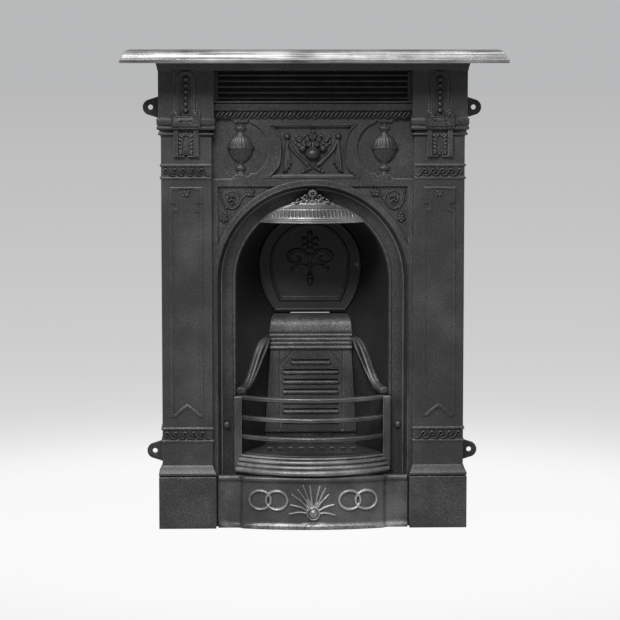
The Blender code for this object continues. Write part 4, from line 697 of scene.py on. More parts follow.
band = Relief(-BAND_HALF, BAND_HALF, 5.2, BAND_TALL - 5.2, cell=0.55)
pitch = 2 * (BAND_HALF - 1.5) / WAVES
middle = BAND_TALL / 2
for i in range(WAVES):
    x0 = -BAND_HALF + 1.5 + (i + 0.5) * pitch
    wave = smooth_path([(x0 - 0.66 * pitch, middle - 6.6), (x0 - 0.3 * pitch, middle - 6.2),
                        (x0 - 0.02 * pitch, middle - 0.5), (x0 + 0.14 * pitch, middle + 5.2),
                        (x0 + 0.38 * pitch, middle + 5.6), (x0 + 0.5 * pitch, middle + 1.2),
                        (x0 + 0.38 * pitch, middle - 2.2), (x0 + 0.24 * pitch, middle - 0.6)])
    band.stroke([p for p in wave if abs(p[0]) < BAND_HALF - 0.5], 5.4, 6.0,
                lambda t: 0.6 + 0.4 * np.sin(np.pi * t))
for side, hand in SIDES:
    for foot, level in zip(BAND_FOOTS, ("low", "high")):
        ground = upright(SHAFT, side * PILASTER_X, side, foot)
        set_on(f"scroll_band_{level}_{hand}", band, ground, "black_iron")

ROPE_REACH = 195.0
ROPE_FOOT, ROPE_HEAD = 829.6, 843.4
ROPE_GROUND = 47.0
ROPE_STRANDS = 46
rope = Relief(-ROPE_REACH, ROPE_REACH, ROPE_FOOT, ROPE_HEAD, cell=0.8)
for i in range(ROPE_STRANDS):
    x0 = -ROPE_REACH + (i + 0.5) * 2 * ROPE_REACH / ROPE_STRANDS
    rope.stroke(smooth_path([(x0 - 5.2, 831), (x0 - 2.2, 833.4), (x0 + 2.2, 838.6), (x0 + 5.2, 841)], 3), 5.4, 5.0,
                swelling(0.6))
set_on("rope_moulding", rope, upright(ROPE_GROUND), "black_iron")

# %% [markdown]
# ## Clasps, tabs and beads
# On each pilaster a clasp with two volutes grips the capital. A tab hangs from it with a sprig of leaves,
# and a row of beads runs up the channel above.

# %% Carve the tabs and the beads
TAB_GROUND = 63.5
TAB_TOP, TAB_FOOT = 802.9, 754.0
BEAD_GROUND = 62.0
BEAD_RADIUS, BEAD_COUNT, BEAD_FIRST, BEAD_PITCH = 5.6, 6, 844, 12.6

sprig = Relief(-15.3, 15.3, TAB_FOOT, TAB_TOP, cell=0.5)
for hand in (-1, 1):
    for i in range(5):
        z = TAB_FOOT + 6 + i * 7.6
        sprig.leaf((hand * 6.5, z - 1.5), (hand * 14.8, z + 7.5), 6.4, 3.8, lobes=1)
    sprig.stroke(smooth_path([(hand * 3, TAB_FOOT + 2), (hand * 8, TAB_FOOT + 9), (hand * 7.4, TAB_FOOT + 30),
                              (hand * 5.6, TAB_TOP - 7)]), 3.0, 3.8)
    sprig.leaf((0, TAB_TOP - 9), (hand * 13.5, TAB_TOP - 3), 8, 4.8, lobes=2)
    sprig.ball(hand * 11.5, TAB_FOOT + 3.8, 3.4, 3.6)
sprig.ball(0, TAB_FOOT + 5, 3.2, 4.6)

beads = Relief(-6.4, 6.4, 836.5, 914, cell=0.5)
for i in range(BEAD_COUNT):
    beads.ball(0, BEAD_FIRST + BEAD_PITCH * i, BEAD_RADIUS, BEAD_RADIUS)

heart = Relief(-16, 16, 667, 689, cell=0.5)
for hand in (-1, 1):
    heart.leaf((0, 679.5), (hand * 9.5, 686.5), 7, 3.6, lobes=2)
    heart.leaf((0, 681), (hand * 7.5, 672.5), 6, 3.6, lobes=2)
    heart.ball(hand * 3.6, 680.5, 2.8, 3.8)
heart.ball(0, 674.5, 2.6, 3.6)

ON_PILASTERS = (("tab_sprig", sprig, TAB_GROUND, "black_iron"), ("beads", beads, BEAD_GROUND, "rail_iron"),
                ("shaft_heart", heart, SHAFT, "black_iron"))
for side, hand in SIDES:
    for name, relief, distance, finish in ON_PILASTERS:
        set_on(f"{name}_{hand}", relief, upright(distance, side * PILASTER_X), finish)

# %% [markdown]
# ## The capitals and the clasps
# Each capital is three square ledges, one under the other, that return round both sides of the pilaster.
# A ledge is a box with its edges rounded, let into the casting. The clasp over it has a volute in each ear
# and a raised border.

# %% Add the ledges and the volutes
PILASTER_HALF = 50.25
LEDGES = ((815.4, 828.8, 8.2), (806.0, 812.8, 8.0), (795.2, 799.6, 5.4))
LEDGE_BACK, LEDGE_ROUNDING = 40.0, 1.5
CLASP_FRONT = 73.0
CLASP_HALF, CLASP_EAR, CLASP_FOOT, CLASP_TOP = 28.8, 9.3, 807.9, 847.2
BORDER_INSET, BORDER = 1.6, (2.2, 1.6)


def ledge(name, side, low, high, spread):
    nothing_selected()
    wide = 2 * (PILASTER_HALF + spread)
    front = SHAFT + spread
    place = (side * PILASTER_X * MM, in_front((front + LEDGE_BACK) / 2), (low + high) / 2 * MM)
    size = (wide * MM, (front - LEDGE_BACK) * MM, (high - low) * MM)
    bpy.ops.mesh.primitive_cube_add(size=1, location=place, scale=size)
    piece = bpy.context.object
    piece.name = piece.data.name = name
    bpy.ops.object.transform_apply(location=True, rotation=False, scale=True)
    rounding = piece.modifiers.new("rounding", "BEVEL")
    rounding.width = LEDGE_ROUNDING * MM
    rounding.segments = 3
    bpy.ops.object.modifier_apply(modifier="rounding")
    bpy.ops.object.shade_smooth_by_angle(angle=math.radians(40), keep_sharp_edges=False)
    put_on(piece, "black_iron")


clasp = Relief(-CLASP_HALF + 0.4, CLASP_HALF - 0.4, CLASP_FOOT + 0.4, CLASP_TOP - 0.4, cell=0.5)
centre_x, centre_z = CLASP_HALF - CLASP_EAR, CLASP_TOP - CLASP_EAR
edge, foot = CLASP_HALF - BORDER_INSET, CLASP_FOOT + BORDER_INSET
for hand in (-1, 1):
    spiral = []
    for i in range(28):
        turn = math.radians(250 - 22 * i)
        radius = 7.4 - 5.0 * i / 27
        spiral.append((hand * (centre_x + radius * math.cos(turn)), centre_z + radius * math.sin(turn)))
    clasp.stroke(spiral, 2.6, 2.2)
    clasp.ball(hand * centre_x, centre_z, 2.8, 3.0)
    clasp.stroke([(hand * edge, centre_z - 2), (hand * edge, foot)], *BORDER)
    clasp.stroke([(hand * (CLASP_HALF - 2 * CLASP_EAR - 1), centre_z - 6), (0, centre_z - 6)], *BORDER)
clasp.stroke([(-edge, foot), (edge, foot)], *BORDER)

for side, hand in SIDES:
    for place, (low, high, spread) in zip(("top", "middle", "low"), LEDGES):
        ledge(f"capital_{place}_{hand}", side, low, high, spread)
    set_on("clasp_volutes_" + hand, clasp, upright(CLASP_FRONT, side * PILASTER_X), "black_iron")
print("capitals and clasps made")

# %% [markdown]
# ## Cut the coarse carving away
# Each cutter stands over one carved field, a little inside its frame. The urns keep their own outline, so
# that the plain field round them stays whole.

# %% Cut the surround
def plain_box(name, x0, x1, z0, z1, distance, reach=CUT_REACH):
    return prism(name, [(x0, z0), (x1, z0), (x1, z1), (x0, z1)], distance, reach)


cutters = [prism("panel_cutter", both_sides(PANEL_SHAPE), FIELD),
           prism("vine_cutter_left", SPANDREL_SHAPE, FIELD),
           prism("vine_cutter_right", [(-x, z) for x, z in SPANDREL_SHAPE], FIELD),
           plain_box("rope_cutter", -196.5, 196.5, 830.6, 842.8, ROPE_GROUND)]
for side in (-1, 1):
    half_urn = [(radius + 2.2, FRIEZE_TOP - drop) for radius, drop in URN_SECTION[1:-1]]
    outline = [(side * URN_X + x, z) for x, z in both_sides(half_urn)]
    cutters.append(prism("urn_cutter", outline, FIELD))
    middle = side * PILASTER_X
    cutters.append(plain_box("tab_cutter", middle - 15.2, middle + 15.2, TAB_FOOT + 0.3, TAB_TOP - 0.3,
                             TAB_GROUND))
    cutters.append(plain_box("bead_cutter", middle - 9.5, middle + 9.5, 836, 914, BEAD_GROUND))
    cutters.append(plain_box("heart_cutter", middle - 15, middle + 15, 668, 688.6, SHAFT))
    for foot in BAND_FOOTS:
        cutters.append(plain_box("band_cutter", middle - 49.8, middle + 49.8, foot + 4.9, foot + 25.1, SHAFT))
cut_flush(castings["surround"], cutters)
print("the surround is cleared for its fine carving")

# %% [markdown]
# ## The damper flap
# The flap is a round-headed plate with a thin rim, a frame of the same shape and an arabesque of scrolls
# under a flower head, all in very low relief. The plate leans back on its hinge, so the ground of this
# relief leans with it: a point at this height above the hinge is turned about the hinge line.

# %% Carve the flap
FLAP_HINGE = (149.0, 422.0)
FLAP_LEAN = math.radians(4)
FLAP_FACE = 3.1
FLAP_WIDEST = 95.5
FLAP_SKIN, SKIN_HALF, SKIN_DROP, SKIN_FOOT = 0.9, 103, 127, 3


def leaning(x, z, height):
    """The face of the flap: x across it, z up it from the hinge."""
    out = FLAP_FACE + height
    back = FLAP_HINGE[0] - out * math.cos(FLAP_LEAN) + z * math.sin(FLAP_LEAN)
    up = FLAP_HINGE[1] + out * math.sin(FLAP_LEAN) + z * math.cos(FLAP_LEAN)
    return x * MM, in_front(-back), up * MM


def horseshoe(half, widest, drop, foot):
    """A half circle over the lower part of an ellipse, cut level at its foot."""
    cut = -math.degrees(math.asin((widest - foot) / drop))
    right = arc_points((0, widest), half, cut, 0, 8, tall=drop)
    over = arc_points((0, widest), half, 0, 180, 30)
    left = [(-x, z) for x, z in reversed(right)]
    return [*right[:-1], *over, *left[1:], right[0]]


arabesque = Relief(-106, 106, 0, 205)
arabesque.stroke(horseshoe(105.0, FLAP_WIDEST, 129.5, 1.5), 4.4, 2.4)
arabesque.stroke(horseshoe(81, FLAP_WIDEST + 4, 121, 22), 5.4, 3.2)
arabesque.stroke(horseshoe(75.6, FLAP_WIDEST + 4, 115, 28), 2.2, 1.6)
base = FLAP_WIDEST
for hand in (-1, 1):
    scroll = [(1.5, -2), (3, 14.5), (11, 27.2), (24, 31.4), (38, 29), (47, 19), (40, 6), (27, 4), (20, 11),
              (25, 17.8)]
    path = smooth_path([(hand * x, base + z) for x, z in scroll])
    arabesque.stroke(path, 5.6, 4.2, lambda t: 0.75 + 0.25 * np.sin(np.pi * t))
    inner = [(6, 12), (14, 22), (25, 25.5), (36, 22), (40, 15)]
    arabesque.stroke(smooth_path([(hand * x, base + z) for x, z in inner]), 2.4, 2.4)
    tendril = [(2, -8), (10, -1), (19, 0), (30, -5)]
    arabesque.stroke(smooth_path([(hand * x, base + z) for x, z in tendril]), 4.2, 3.6)
    curl = [(19, 0), (24, -7), (31, -10), (34, -4), (29, -2)]
    arabesque.stroke(smooth_path([(hand * x, base + z) for x, z in curl]), 2.6, 3.0)
    arabesque.ball(hand * 35, base - 9, 5.0, 4.0)
    for x, z, size in ((12, 52.5, 6.2), (11, 39, 6.2), (5, 32, 5.2)):
        arabesque.ball(hand * x, base + z, size, 4.4)
for z0, z1, width in ((-22, 36, 5.0), (40, 58, 4.2)):
    arabesque.stroke([(0, base + z0), (0, base + z1)], width, 3.8)
for drop, size in ((-23, 6.2), (-31.5, 6.8), (-39, 5.2)):
    arabesque.ball(0, base + drop, size, 5.6, tall=5.2)
arabesque.ball(0, base + 45, 5.6, 5.2)
arabesque.ball(0, base + 62, 5.4, 4.4, tall=9.4)
above = arabesque.z - base
plate_edge = np.hypot(arabesque.x / SKIN_HALF, above / np.where(above > 0, SKIN_HALF, SKIN_DROP))
on_plate = (plate_edge < 1) & (arabesque.z > SKIN_FOOT)
arabesque.height = arabesque.height + np.where(on_plate, FLAP_SKIN, 0)
set_on("flap_arabesque", arabesque, leaning, "flap_iron", body="flap")

# %% [markdown]
# ## The hood and its crest
# The hood has three bands under one another: a plain one, a fluted one and a moulded lip. The solid gives
# its sweep, and a skin of fine carving follows the same sweep a hair in front of it. The crest is openwork,
# a ring flower between curled leaves, so the solid one is cut away and a thin pierced one is carved.

# %% Carve the hood
ARCH_SPRING = 501.3
HOOD_RADIUS = 160.0
HOOD_LIP_Z = 618.6
HOOD_LIP_HALF = math.sqrt(HOOD_RADIUS ** 2 - (HOOD_LIP_Z - ARCH_SPRING) ** 2)
HOOD_START = 15.3
HOOD_REACH = 40.0
LIP_BAND, FLUTED_BAND, PLAIN_BAND = 628.7, 644.8, 656.5
FLUTE_PITCH, FLUTE_DEPTH = 7.5, 5.0
SKIN = 0.9


def hood_out(x, z):
    """How far the hood stands in front of the wall line at a point, and the height of its upper edge there."""
    bow = HOOD_REACH * np.clip(1 - (x / HOOD_LIP_HALF) ** 2, 0, 1) ** 0.75
    top = ARCH_SPRING + np.sqrt(np.clip(HOOD_RADIUS ** 2 - x * x, 1, None))
    share = np.clip((top - z) / np.maximum(top - HOOD_LIP_Z, 0.5), 0, 1)
    return HOOD_START + bow * share, top


def hood_ground(x, z, height):
    out, top = hood_out(x, z)
    return x * MM, in_front(out + height), np.minimum(z, top) * MM


hood_skin = Relief(-106.5, 106.5, HOOD_LIP_Z - 0.2, 661.5, cell=0.6)
x, z = hood_skin.x, hood_skin.z
_, hood_top = hood_out(x, z)
inside = (z < hood_top - 0.3) & (np.abs(x) < 106.4)
radiating = x / (1 - 0.0016 * (z - LIP_BAND))
flute = np.clip(1.6 * np.cos(2 * np.pi * radiating / FLUTE_PITCH) + 0.5, 0, 1)
in_flutes = np.clip((z - LIP_BAND - 0.6) / 2.2, 0, 1) * np.clip((FLUTED_BAND - 1.2 - z) / 2.2, 0, 1)
fillets = sum(1.9 * np.exp(-((z - level) / 1.1) ** 2) for level in (LIP_BAND, FLUTED_BAND, PLAIN_BAND))
lip = 2.2 * np.exp(-((z - HOOD_LIP_Z - 1.6) / 1.9) ** 2) + 1.2 * np.exp(-((z - 624.6) / 1.5) ** 2)
near_edge = np.clip((hood_top - z) / 3.5, 0, 1)
bead = 1.8 * np.clip(1 - (near_edge * 3.5 - 1.7) ** 2 / 2.6, 0, 1) ** 0.5
skin = SKIN + fillets + lip + FLUTE_DEPTH * in_flutes * flute * np.clip(1.3 - np.abs(x) / 75, 0, 1) ** 0.3
hood_skin.height = np.where(inside, np.maximum(skin * near_edge, bead) + 0.3, 0)
set_on("hood_skin", hood_skin, hood_ground, "hood_iron", sink=0.6)

CREST_FOOT = ARCH_SPRING + HOOD_RADIUS - 4
CREST_TALL = 27.5
CREST_LEAN = 13.0


def crest_drop(x):
    return HOOD_RADIUS - np.sqrt(HOOD_RADIUS ** 2 - x * x)


def crest_ground(x, z, height):
    """z is the height over the edge of the hood, which drops away to both sides."""
    lean = (np.clip(z, 0, None) / CREST_TALL) ** 1.5 * CREST_LEAN
    return x * MM, in_front(HOOD_START + 1.5 + lean + height), (CREST_FOOT - crest_drop(x) + z) * MM


crest = Relief(-44, 44, -4, 28.5, cell=0.45)
crest.stroke([(-43, -1.5), (43, -1.5)], 4.0, 3.2)
for hand in (-1, 1):
    crest.leaf((hand * 30, -3), (hand * 43, 1.5), 8, 4.0, lobes=2)
    crest.leaf((hand * 18, -1), (hand * 36, 6.5), 10, 4.6)
    crest.leaf((hand * 8, -1), (hand * 24, 13.5), 10, 5.0)
    crest.stroke(smooth_path([(hand * 5, 1), (hand * 13, 4), (hand * 18.5, 10), (hand * 15.5, 16.5),
                              (hand * 10.8, 14), (hand * 12.6, 10.6)]), 3.4, 4.6)
    crest.stroke(smooth_path([(hand * 22, 1), (hand * 29, 3.5), (hand * 32, 8), (hand * 28, 10.5)]), 2.8, 3.8)
    crest.leaf((hand * 2, -2), (hand * 9, 9), 7, 4.4, lobes=2)
crest.leaf((0, -2), (0, 13), 8.5, 5.4, lobes=2)
for turn in range(0, 360, 45):
    t = math.radians(turn)
    crest.ball(6.6 * math.cos(t), 19 + 6.6 * math.sin(t), 3.5, 4.6)
crest.stroke(arc_points((0, 19), 5.0, 0, 360, 20), 2.6, 5.6)
crest.ball(0, 19, 2.7, 5.6)
over_hood = arc_points((0, ARCH_SPRING), HOOD_RADIUS + 1.2, 108, 72, 12)
crest_cutter = prism("crest_cutter", [*over_hood, (52, 700), (-52, 700)], 5, reach=60 * MM)
cut_flush(castings["hood"], [crest_cutter])
set_on("hood_crest", crest, crest_ground, "hood_iron", sink=2.4)

# %% [markdown]
# ## Sweep a moulding
# Beads and rails are one section carried along a line. An extruded section or a curve with a bevel would
# do, but here a grid is wrapped: one way of the grid runs along the line, the other round the section, the
# seam is merged and both ends are closed.

# %% Write the sweep
def sweep(name, place, along, around, finish, smooth=50):
    """place(u, v) gives the points for u along and v round the moulding, both arrays from 0 to 1."""
    nothing_selected()
    bpy.ops.mesh.primitive_grid_add(x_subdivisions=along, y_subdivisions=around, size=1)
    piece = bpy.context.object
    piece.name = piece.data.name = name
    flat_points = np.empty(len(piece.data.vertices) * 3, np.float32)
    piece.data.vertices.foreach_get("co", flat_points)
    flat_points = flat_points.reshape(-1, 3)
    points = place(flat_points[:, 0] + 0.5, flat_points[:, 1] + 0.5)
    piece.data.vertices.foreach_set("co", np.stack(points, 1).astype(np.float32).ravel())
    edit_whole()
    bpy.ops.mesh.remove_doubles(threshold=WELD / 2)
    bpy.ops.mesh.fill_holes(sides=0)
    complete(piece, smooth, finish)


def along_arch(u, leg, radius):
    """Points and outward directions on a leg, over the arch and down the other leg."""
    run = np.pi * radius
    total = 2 * leg + run
    s = u * total
    turn = np.clip((s - leg) / radius, 0, np.pi)
    down = np.clip(leg - s, 0, None) + np.clip(s - leg - run, 0, None)
    return -np.cos(turn), np.sin(turn), down


print("sweep ready")

# %% [markdown]
# ## The hollow of the arch
# Between the plate and the opening the arch is hollowed, deep and smooth. The hollow runs down both legs to
# the floor, and its back is closed behind its own face.

# %% Sweep the hollow of the arch
ARCH_OUTER, COVE_INNER, COVE_DEEP = 193.0, 161.0, 8.0
COVE_CLEAR, COVE_LAP, COVE_FACE, COVE_BEHIND = 1.1, 1.6, 0.75, 1.5
COVE_WIDE, COVE_TOP = ARCH_OUTER - COVE_INNER + 1.4, PLATE + 0.4


def arch_cove(u, v):
    """COVE_FACE is the share of the section that shows; the rest closes it behind."""
    dx, dz, down = along_arch(u, ARCH_SPRING, ARCH_OUTER)
    t = np.clip(v / COVE_FACE, 0, 1) * np.pi / 2
    front = v <= COVE_FACE
    deep = np.clip((v - COVE_FACE) / (1 - COVE_FACE), 0, 1)
    inner, back = COVE_INNER - COVE_LAP, COVE_DEEP - COVE_BEHIND
    r = np.where(front, inner + COVE_WIDE * np.cos(t) - COVE_CLEAR * np.sin(2 * t), inner + COVE_WIDE * deep)
    out = np.where(front, COVE_TOP - (PLATE - COVE_DEEP) * np.sin(t) + COVE_CLEAR * np.sin(2 * t),
                   back + (COVE_TOP - back) * deep ** 3)
    return dx * r * MM, in_front(out), (ARCH_SPRING - down + dz * r) * MM


sweep("arch_cove", arch_cove, 160, 32, "black_iron", smooth=45)

# %% [markdown]
# ## The bolt heads
# A domed bolt head shows in the hollow on either side, near the foot of the arch.

# %% Add the bolt heads
BOLT_X, BOLT_Z, BOLT_FRONT, BOLT_RADIUS, BOLT_DOME = 174.8, 204.4, 17.5, 7.0, 0.62


def bolt_head(name, side):
    """A domed head that stands clear of the hollow of the arch."""
    nothing_selected()
    bpy.ops.mesh.primitive_uv_sphere_add(segments=32, ring_count=16, radius=BOLT_RADIUS * MM,
                                         location=(side * BOLT_X * MM, in_front(BOLT_FRONT), BOLT_Z * MM),
                                         rotation=(math.radians(90), 0, 0), scale=(1, 1, BOLT_DOME))
    head = bpy.context.object
    head.name = head.data.name = name
    bpy.ops.object.transform_apply(location=True, rotation=True, scale=True)
    bpy.ops.object.shade_smooth()
    put_on(head, "rubbed_iron")


for side, hand in SIDES:
    bolt_head("bolt_head_" + hand, side)
print("bolt heads added")

# %% [markdown]
# ## The fillet and the beads of the arch
# A flat fillet follows the outside of the arch beside the spandrels. A fine bead rounds the arris of the
# plate, and a double bead lies along the opening.

# %% Sweep the fillet and the beads
FILLET_SECTION = np.array([(193.8, 40), (193.8, 43.6), (194.4, 44.5), (203.6, 44.5), (204.6, 43.6), (204.6, 40),
                           (193.8, 40)])
FILLET_FROM, FILLET_TURN = 24, 132


def arch_fillet(u, v):
    """The fillet, over the arch from one spandrel to the other."""
    steps = np.linspace(0, 1, len(FILLET_SECTION))
    r = np.interp(v, steps, FILLET_SECTION[:, 0])
    out = np.interp(v, steps, FILLET_SECTION[:, 1])
    turn = np.radians(FILLET_FROM + FILLET_TURN * u)
    return -np.cos(turn) * r * MM, in_front(out), (ARCH_SPRING + np.sin(turn) * r) * MM


def arch_bead(name, radius, out, wide, proud, foot, lobes=1):
    """A bead on the arch: lobes is how many rounds lie side by side in it."""
    def place(u, v):
        dx, dz, down = along_arch(u, ARCH_SPRING - foot, radius)
        t = 2 * np.pi * v
        across = np.cos(t) * wide / 2
        rise = np.clip(np.sin(t), -0.4, 1) * proud * (1 if lobes == 1 else 0.45 + 0.55 * np.abs(np.cos(t)) ** 0.5)
        r = radius + across
        return dx * r * MM, in_front(out + rise), (ARCH_SPRING - down + dz * r) * MM
    sweep(name, place, 150, 20, "black_iron")


sweep("arch_fillet", arch_fillet, 110, 24, "black_iron", smooth=30)
arch_bead("arch_bead_inner", 158.6, 9.8, 5.2, 2.4, 266, lobes=2)
arch_bead("arch_bead_outer", 193.4, 43.4, 2.6, 1.4, 268)

# %% [markdown]
# ## The rails of the cheeks
# Each cheek ends above in a double-rounded rail, which rises in an S from the front post to the fireback.

# %% Sweep the cheek rails
RAIL_FOOT, RAIL_HEAD = (147.5, 12.0, 274.0), (90.0, -88.0, 366.5)
RAIL_WIDE, RAIL_TALL = 17.0, 8.0


def cheek_rail(name, side):
    """The double-rounded rail along the top of a cheek, an S from the post up to the fireback."""
    def place(u, v):
        t = np.clip(u, 0, 1)
        rise = t ** 3 * (6 * t * t - 15 * t + 10)
        x = RAIL_FOOT[0] + (RAIL_HEAD[0] - RAIL_FOOT[0]) * t
        out = RAIL_FOOT[1] + (RAIL_HEAD[1] - RAIL_FOOT[1]) * t
        z = RAIL_FOOT[2] + (RAIL_HEAD[2] - RAIL_FOOT[2]) * rise
        turn = 2 * np.pi * v
        across = np.cos(turn) * RAIL_WIDE / 2
        lift = np.sin(turn) * RAIL_TALL * np.where(np.sin(turn) > 0, 0.5 + 0.5 * np.abs(np.cos(turn)) ** 0.6, 0.8)
        return side * (x + across * 0.87) * MM, in_front(out - across * 0.5), (z + lift) * MM
    sweep(name, place, 60, 28, "rail_iron")


for side, hand in SIDES:
    cheek_rail("cheek_rail_" + hand, side)

# %% [markdown]
# ## The slots of the fireback
# Air holes cross the panel of the fireback, one short and the others long, each with round ends and a thick
# rounded lip under it, whose edges the finish brightens, partly as rubbed wear and partly as painted highlight.

# %% Model the lips
FIREBACK_FACE = -90.0
SLOT_TOP, SLOT_LOW, SLOT_COUNT = 322.0, 198.4, 7

lips = Relief(-62, 62, 188, 328, cell=0.7)
for i in range(SLOT_COUNT):
    level = SLOT_TOP - i * (SLOT_TOP - SLOT_LOW) / (SLOT_COUNT - 1)
    half = 55 if i else 38
    lips.stroke([(-half, level - 3.6), (half, level - 3.6)], 8.6, 3.6)
set_on("fireback_lips", lips, upright(FIREBACK_FACE), "fireback_iron")

# %% [markdown]
# ## The ash cover
# Two pairs of linked rings and a half sun with long rays decorate the bowed cover. They lie on its face, so
# their ground follows the flat ends, the small step and the bow.

# %% Carve the ash cover
ASH_INNER, ASH_STEP, ASH_FLAT_OUT, ASH_BOW = 139.0, 12.0, 52.0, 20.0
ASH_HALF, ASH_LEDGE = 190.5, 101.6
RING_MIDDLES, RING_LEVEL, RING_HALF, RING_TALL = (74, 107.5), 59.3, 21.6, 19
BOSS = (0, 33)


def ash_ground(x, z, height):
    share = np.clip((ASH_INNER + ASH_STEP - np.abs(x)) / ASH_STEP, 0, 1)
    step = ASH_STEP * 0.85 * share * share * (3 - 2 * share)
    bow = ASH_BOW * np.clip(1 - (x / ASH_INNER) ** 2, 0, 1)
    return x * MM, in_front(ASH_FLAT_OUT + step + bow + height), z * MM


sun = Relief(-132, 132, 18, 94)
for side in (-1, 1):
    for middle in RING_MIDDLES:
        ring = arc_points((side * middle, RING_LEVEL), RING_HALF, 0, 360, 40, tall=RING_TALL)
        sun.stroke(ring, 5.6, 5.2)
RAYS = ((-48, -1), (-46, 17), (-43, 38), (-31, 48), (-20.5, 57), (-7, 57), (13, 55), (24.5, 51), (31, 38),
        (42, 17.5), (44, -4))
for x, z in RAYS:
    length = math.hypot(x, z)
    bent = 3.0 if abs(x) > 25 else 0.0
    points = [(x * 10 / length, z * 10 / length), (x * 0.55, z * 0.55 + bent), (x, z)]
    sun.stroke(smooth_path([(BOSS[0] + a, BOSS[1] + b) for a, b in points]), 5.8, 4.8, lambda t: 1 - 0.45 * t)
sun.stroke(arc_points(BOSS, 12.0, 0, 360, 30), 4.6, 6.4)
sun.ball(*BOSS, 10.5, 10.5)
set_on("ash_sun", sun, ash_ground, "skirt_highlit_iron")


def ash_rail(u, v):
    """The rolled ledge along the top of the ash cover."""
    x = (u - 0.5) * 2 * ASH_HALF
    turn = 2 * np.pi * v
    _, face, _ = ash_ground(x, 0 * x, 0 * x)
    return x * MM, face - (2.6 + 3.4 * np.cos(turn)) * MM, (ASH_LEDGE + 4.6 * np.sin(turn)) * MM


sweep("ash_ledge", ash_rail, 120, 20, "ash_iron")

# %% [markdown]
# ## The skirt under the bars
# The skirt is a stack of rolls and grooves that follows the bow of the bars. Its section is drawn once, from
# the top ledge down to the large roll at its foot, and swept along the bow.

# %% Sweep the skirt
BOW_CHORD, BOW_REACH, BOW_ENDS = 146.2, 56.0, 19.0
BOW_RADIUS = (BOW_CHORD ** 2 + BOW_REACH ** 2) / (2 * BOW_REACH)
SKIRT_SECTION = ((-5, 144.4), (1.6, 144.6), (3.2, 143.6), (3.6, 142.4), (2.8, 141.2), (0.6, 140.8), (0.2, 139.7),
                 (0.7, 138.8), (4.6, 138.4), (7.0, 136.6), (7.8, 134.2), (7.0, 131.8), (4.6, 130.8), (4.2, 129.9),
                 (4.6, 129.1), (8.8, 128.7), (11.2, 126.6), (11.8, 124.2), (11.0, 122.2), (8.8, 121.6),
                 (9.2, 120.7), (13.4, 119.9), (16.6, 117.4), (17.6, 114.4), (16.8, 111.4), (14.2, 109.6),
                 (6, 109.6), (-5, 120))


def skirt_place(u, v):
    section = np.array([*SKIRT_SECTION, SKIRT_SECTION[0]])
    steps = np.concatenate([[0], np.cumsum(np.hypot(*np.diff(section, axis=0).T))])
    offset = np.interp(v * steps[-1], steps, section[:, 0])
    height = np.interp(v * steps[-1], steps, section[:, 1])
    turn = (2 * u - 1) * math.asin(BOW_CHORD / BOW_RADIUS)
    radius = BOW_RADIUS + offset
    return (radius * np.sin(turn) * MM,
            in_front(BOW_ENDS + BOW_REACH - BOW_RADIUS + radius * np.cos(turn)), height * MM)


sweep("skirt_moulding", skirt_place, 80, 130, "skirt_highlit_iron", smooth=40)

# %% [markdown]
# ## Shade the castings
# A flat face next to a small bevel should still look flat. Each copy is smoothed up to an angle, and a
# Weighted Normal modifier then lets the large faces decide how the edges between them are shaded.

# %% Smooth and weight the normals
SMOOTH_BELOW = math.radians(32)
FLAT_BELOW = math.radians(0.4)
LARGE_FACE_WEIGHT = 90


def shade(piece):
    pick(piece)
    edit_whole()
    bpy.ops.mesh.remove_doubles(threshold=WELD)
    bpy.ops.mesh.dissolve_limited(angle_limit=FLAT_BELOW)
    bpy.ops.object.mode_set(mode="OBJECT")
    bpy.ops.object.shade_smooth_by_angle(angle=SMOOTH_BELOW, keep_sharp_edges=False)
    weigh = piece.modifiers.new("weigh", "WEIGHTED_NORMAL")
    weigh.keep_sharp = True
    weigh.weight = LARGE_FACE_WEIGHT
    bpy.ops.object.modifier_apply(modifier="weigh")


for casting in castings.values():
    shade(casting)
print("shaded", len(castings), "castings")

# %% [markdown]
# ## The floor
# The object stands on a pale floor that fades to grey far behind. A large disc does as the floor. It glows,
# with almost no colour of its own, and its glow is painted light that dims with the distance from the object.

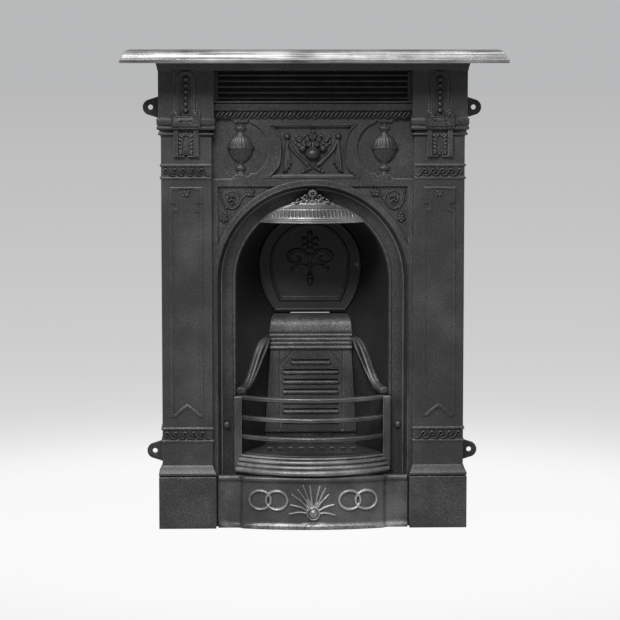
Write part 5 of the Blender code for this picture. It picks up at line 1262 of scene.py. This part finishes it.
# %% Lay the floor
FLOOR_RADIUS, FLOOR_DROP, GLOW_FADE_ROOT = 70, 0.0005, 8.0
nothing_selected()
bpy.ops.mesh.primitive_circle_add(vertices=96, radius=FLOOR_RADIUS, fill_type="NGON", location=(0, 0, -FLOOR_DROP))
floor = bpy.context.object
floor.name = "studio_floor"
g = Graph("glowing_floor")
far = g.vector("LENGTH", g.node("ShaderNodeTexCoord", output=3), output="Value")
FLOOR_GLOW_STOPS = [(0.0, 0.956), (0.111, 0.922), (0.126, 0.879), (0.14, 0.791), (0.155, 0.716), (0.169, 0.672),
               (0.197, 0.631), (0.227, 0.604), (0.295, 0.571), (0.426, 0.533), (0.729, 0.497), (1.0, 0.485)]
ramp = g.node("ShaderNodeValToRGB", {"stops": FLOOR_GLOW_STOPS}, [(far + 0.001) ** 0.5 / GLOW_FADE_ROOT])
g.shader.inputs["Base Color"].default_value = (0.01, 0.01, 0.01, 1)
g.shader.inputs["Roughness"].default_value = 1.0
g.shader.inputs["Specular IOR Level"].default_value = 0.0
# The floor glows: painted light, brightest near the object and dimmer far away.
g.link(ramp, g.shader.inputs["Emission Color"])
g.shader.inputs["Emission Strength"].default_value = 1.0
floor.data.materials.append(g.material)
print("floor laid")

# %% [markdown]
# ## The lights
# A large key light hangs high in front and to the left, a weaker one over the shelf brightens its top, and
# the grey of the surroundings fills the rest.

# %% Set the lights
WORLD_GREY = (0.48, 0.485, 0.49, 1)


def softbox(name, place, aim, size, power):
    nothing_selected()
    turn = (Vector(aim) - Vector(place)).to_track_quat("-Z", "Y").to_euler()
    bpy.ops.object.light_add(type="AREA", location=place, rotation=turn)
    light = bpy.context.object
    light.name = name
    light.data.shape = "RECTANGLE"
    light.data.size, light.data.size_y = size
    light.data.energy = power


softbox("key_softbox", (-0.8, -2.6, 2.9), (0, 0, 0.6), (1.8, 1.0), 226)
softbox("top_softbox", (0.1, -0.75, 2.9), (0, 0, 0.5), (2.0, 0.7), 60)
world = bpy.data.worlds.new("studio")
bpy.context.scene.world = world
world.use_nodes = True
world.node_tree.nodes["Background"].inputs[0].default_value = WORLD_GREY
world.node_tree.nodes["Background"].inputs[1].default_value = 1.0
print("lights set")
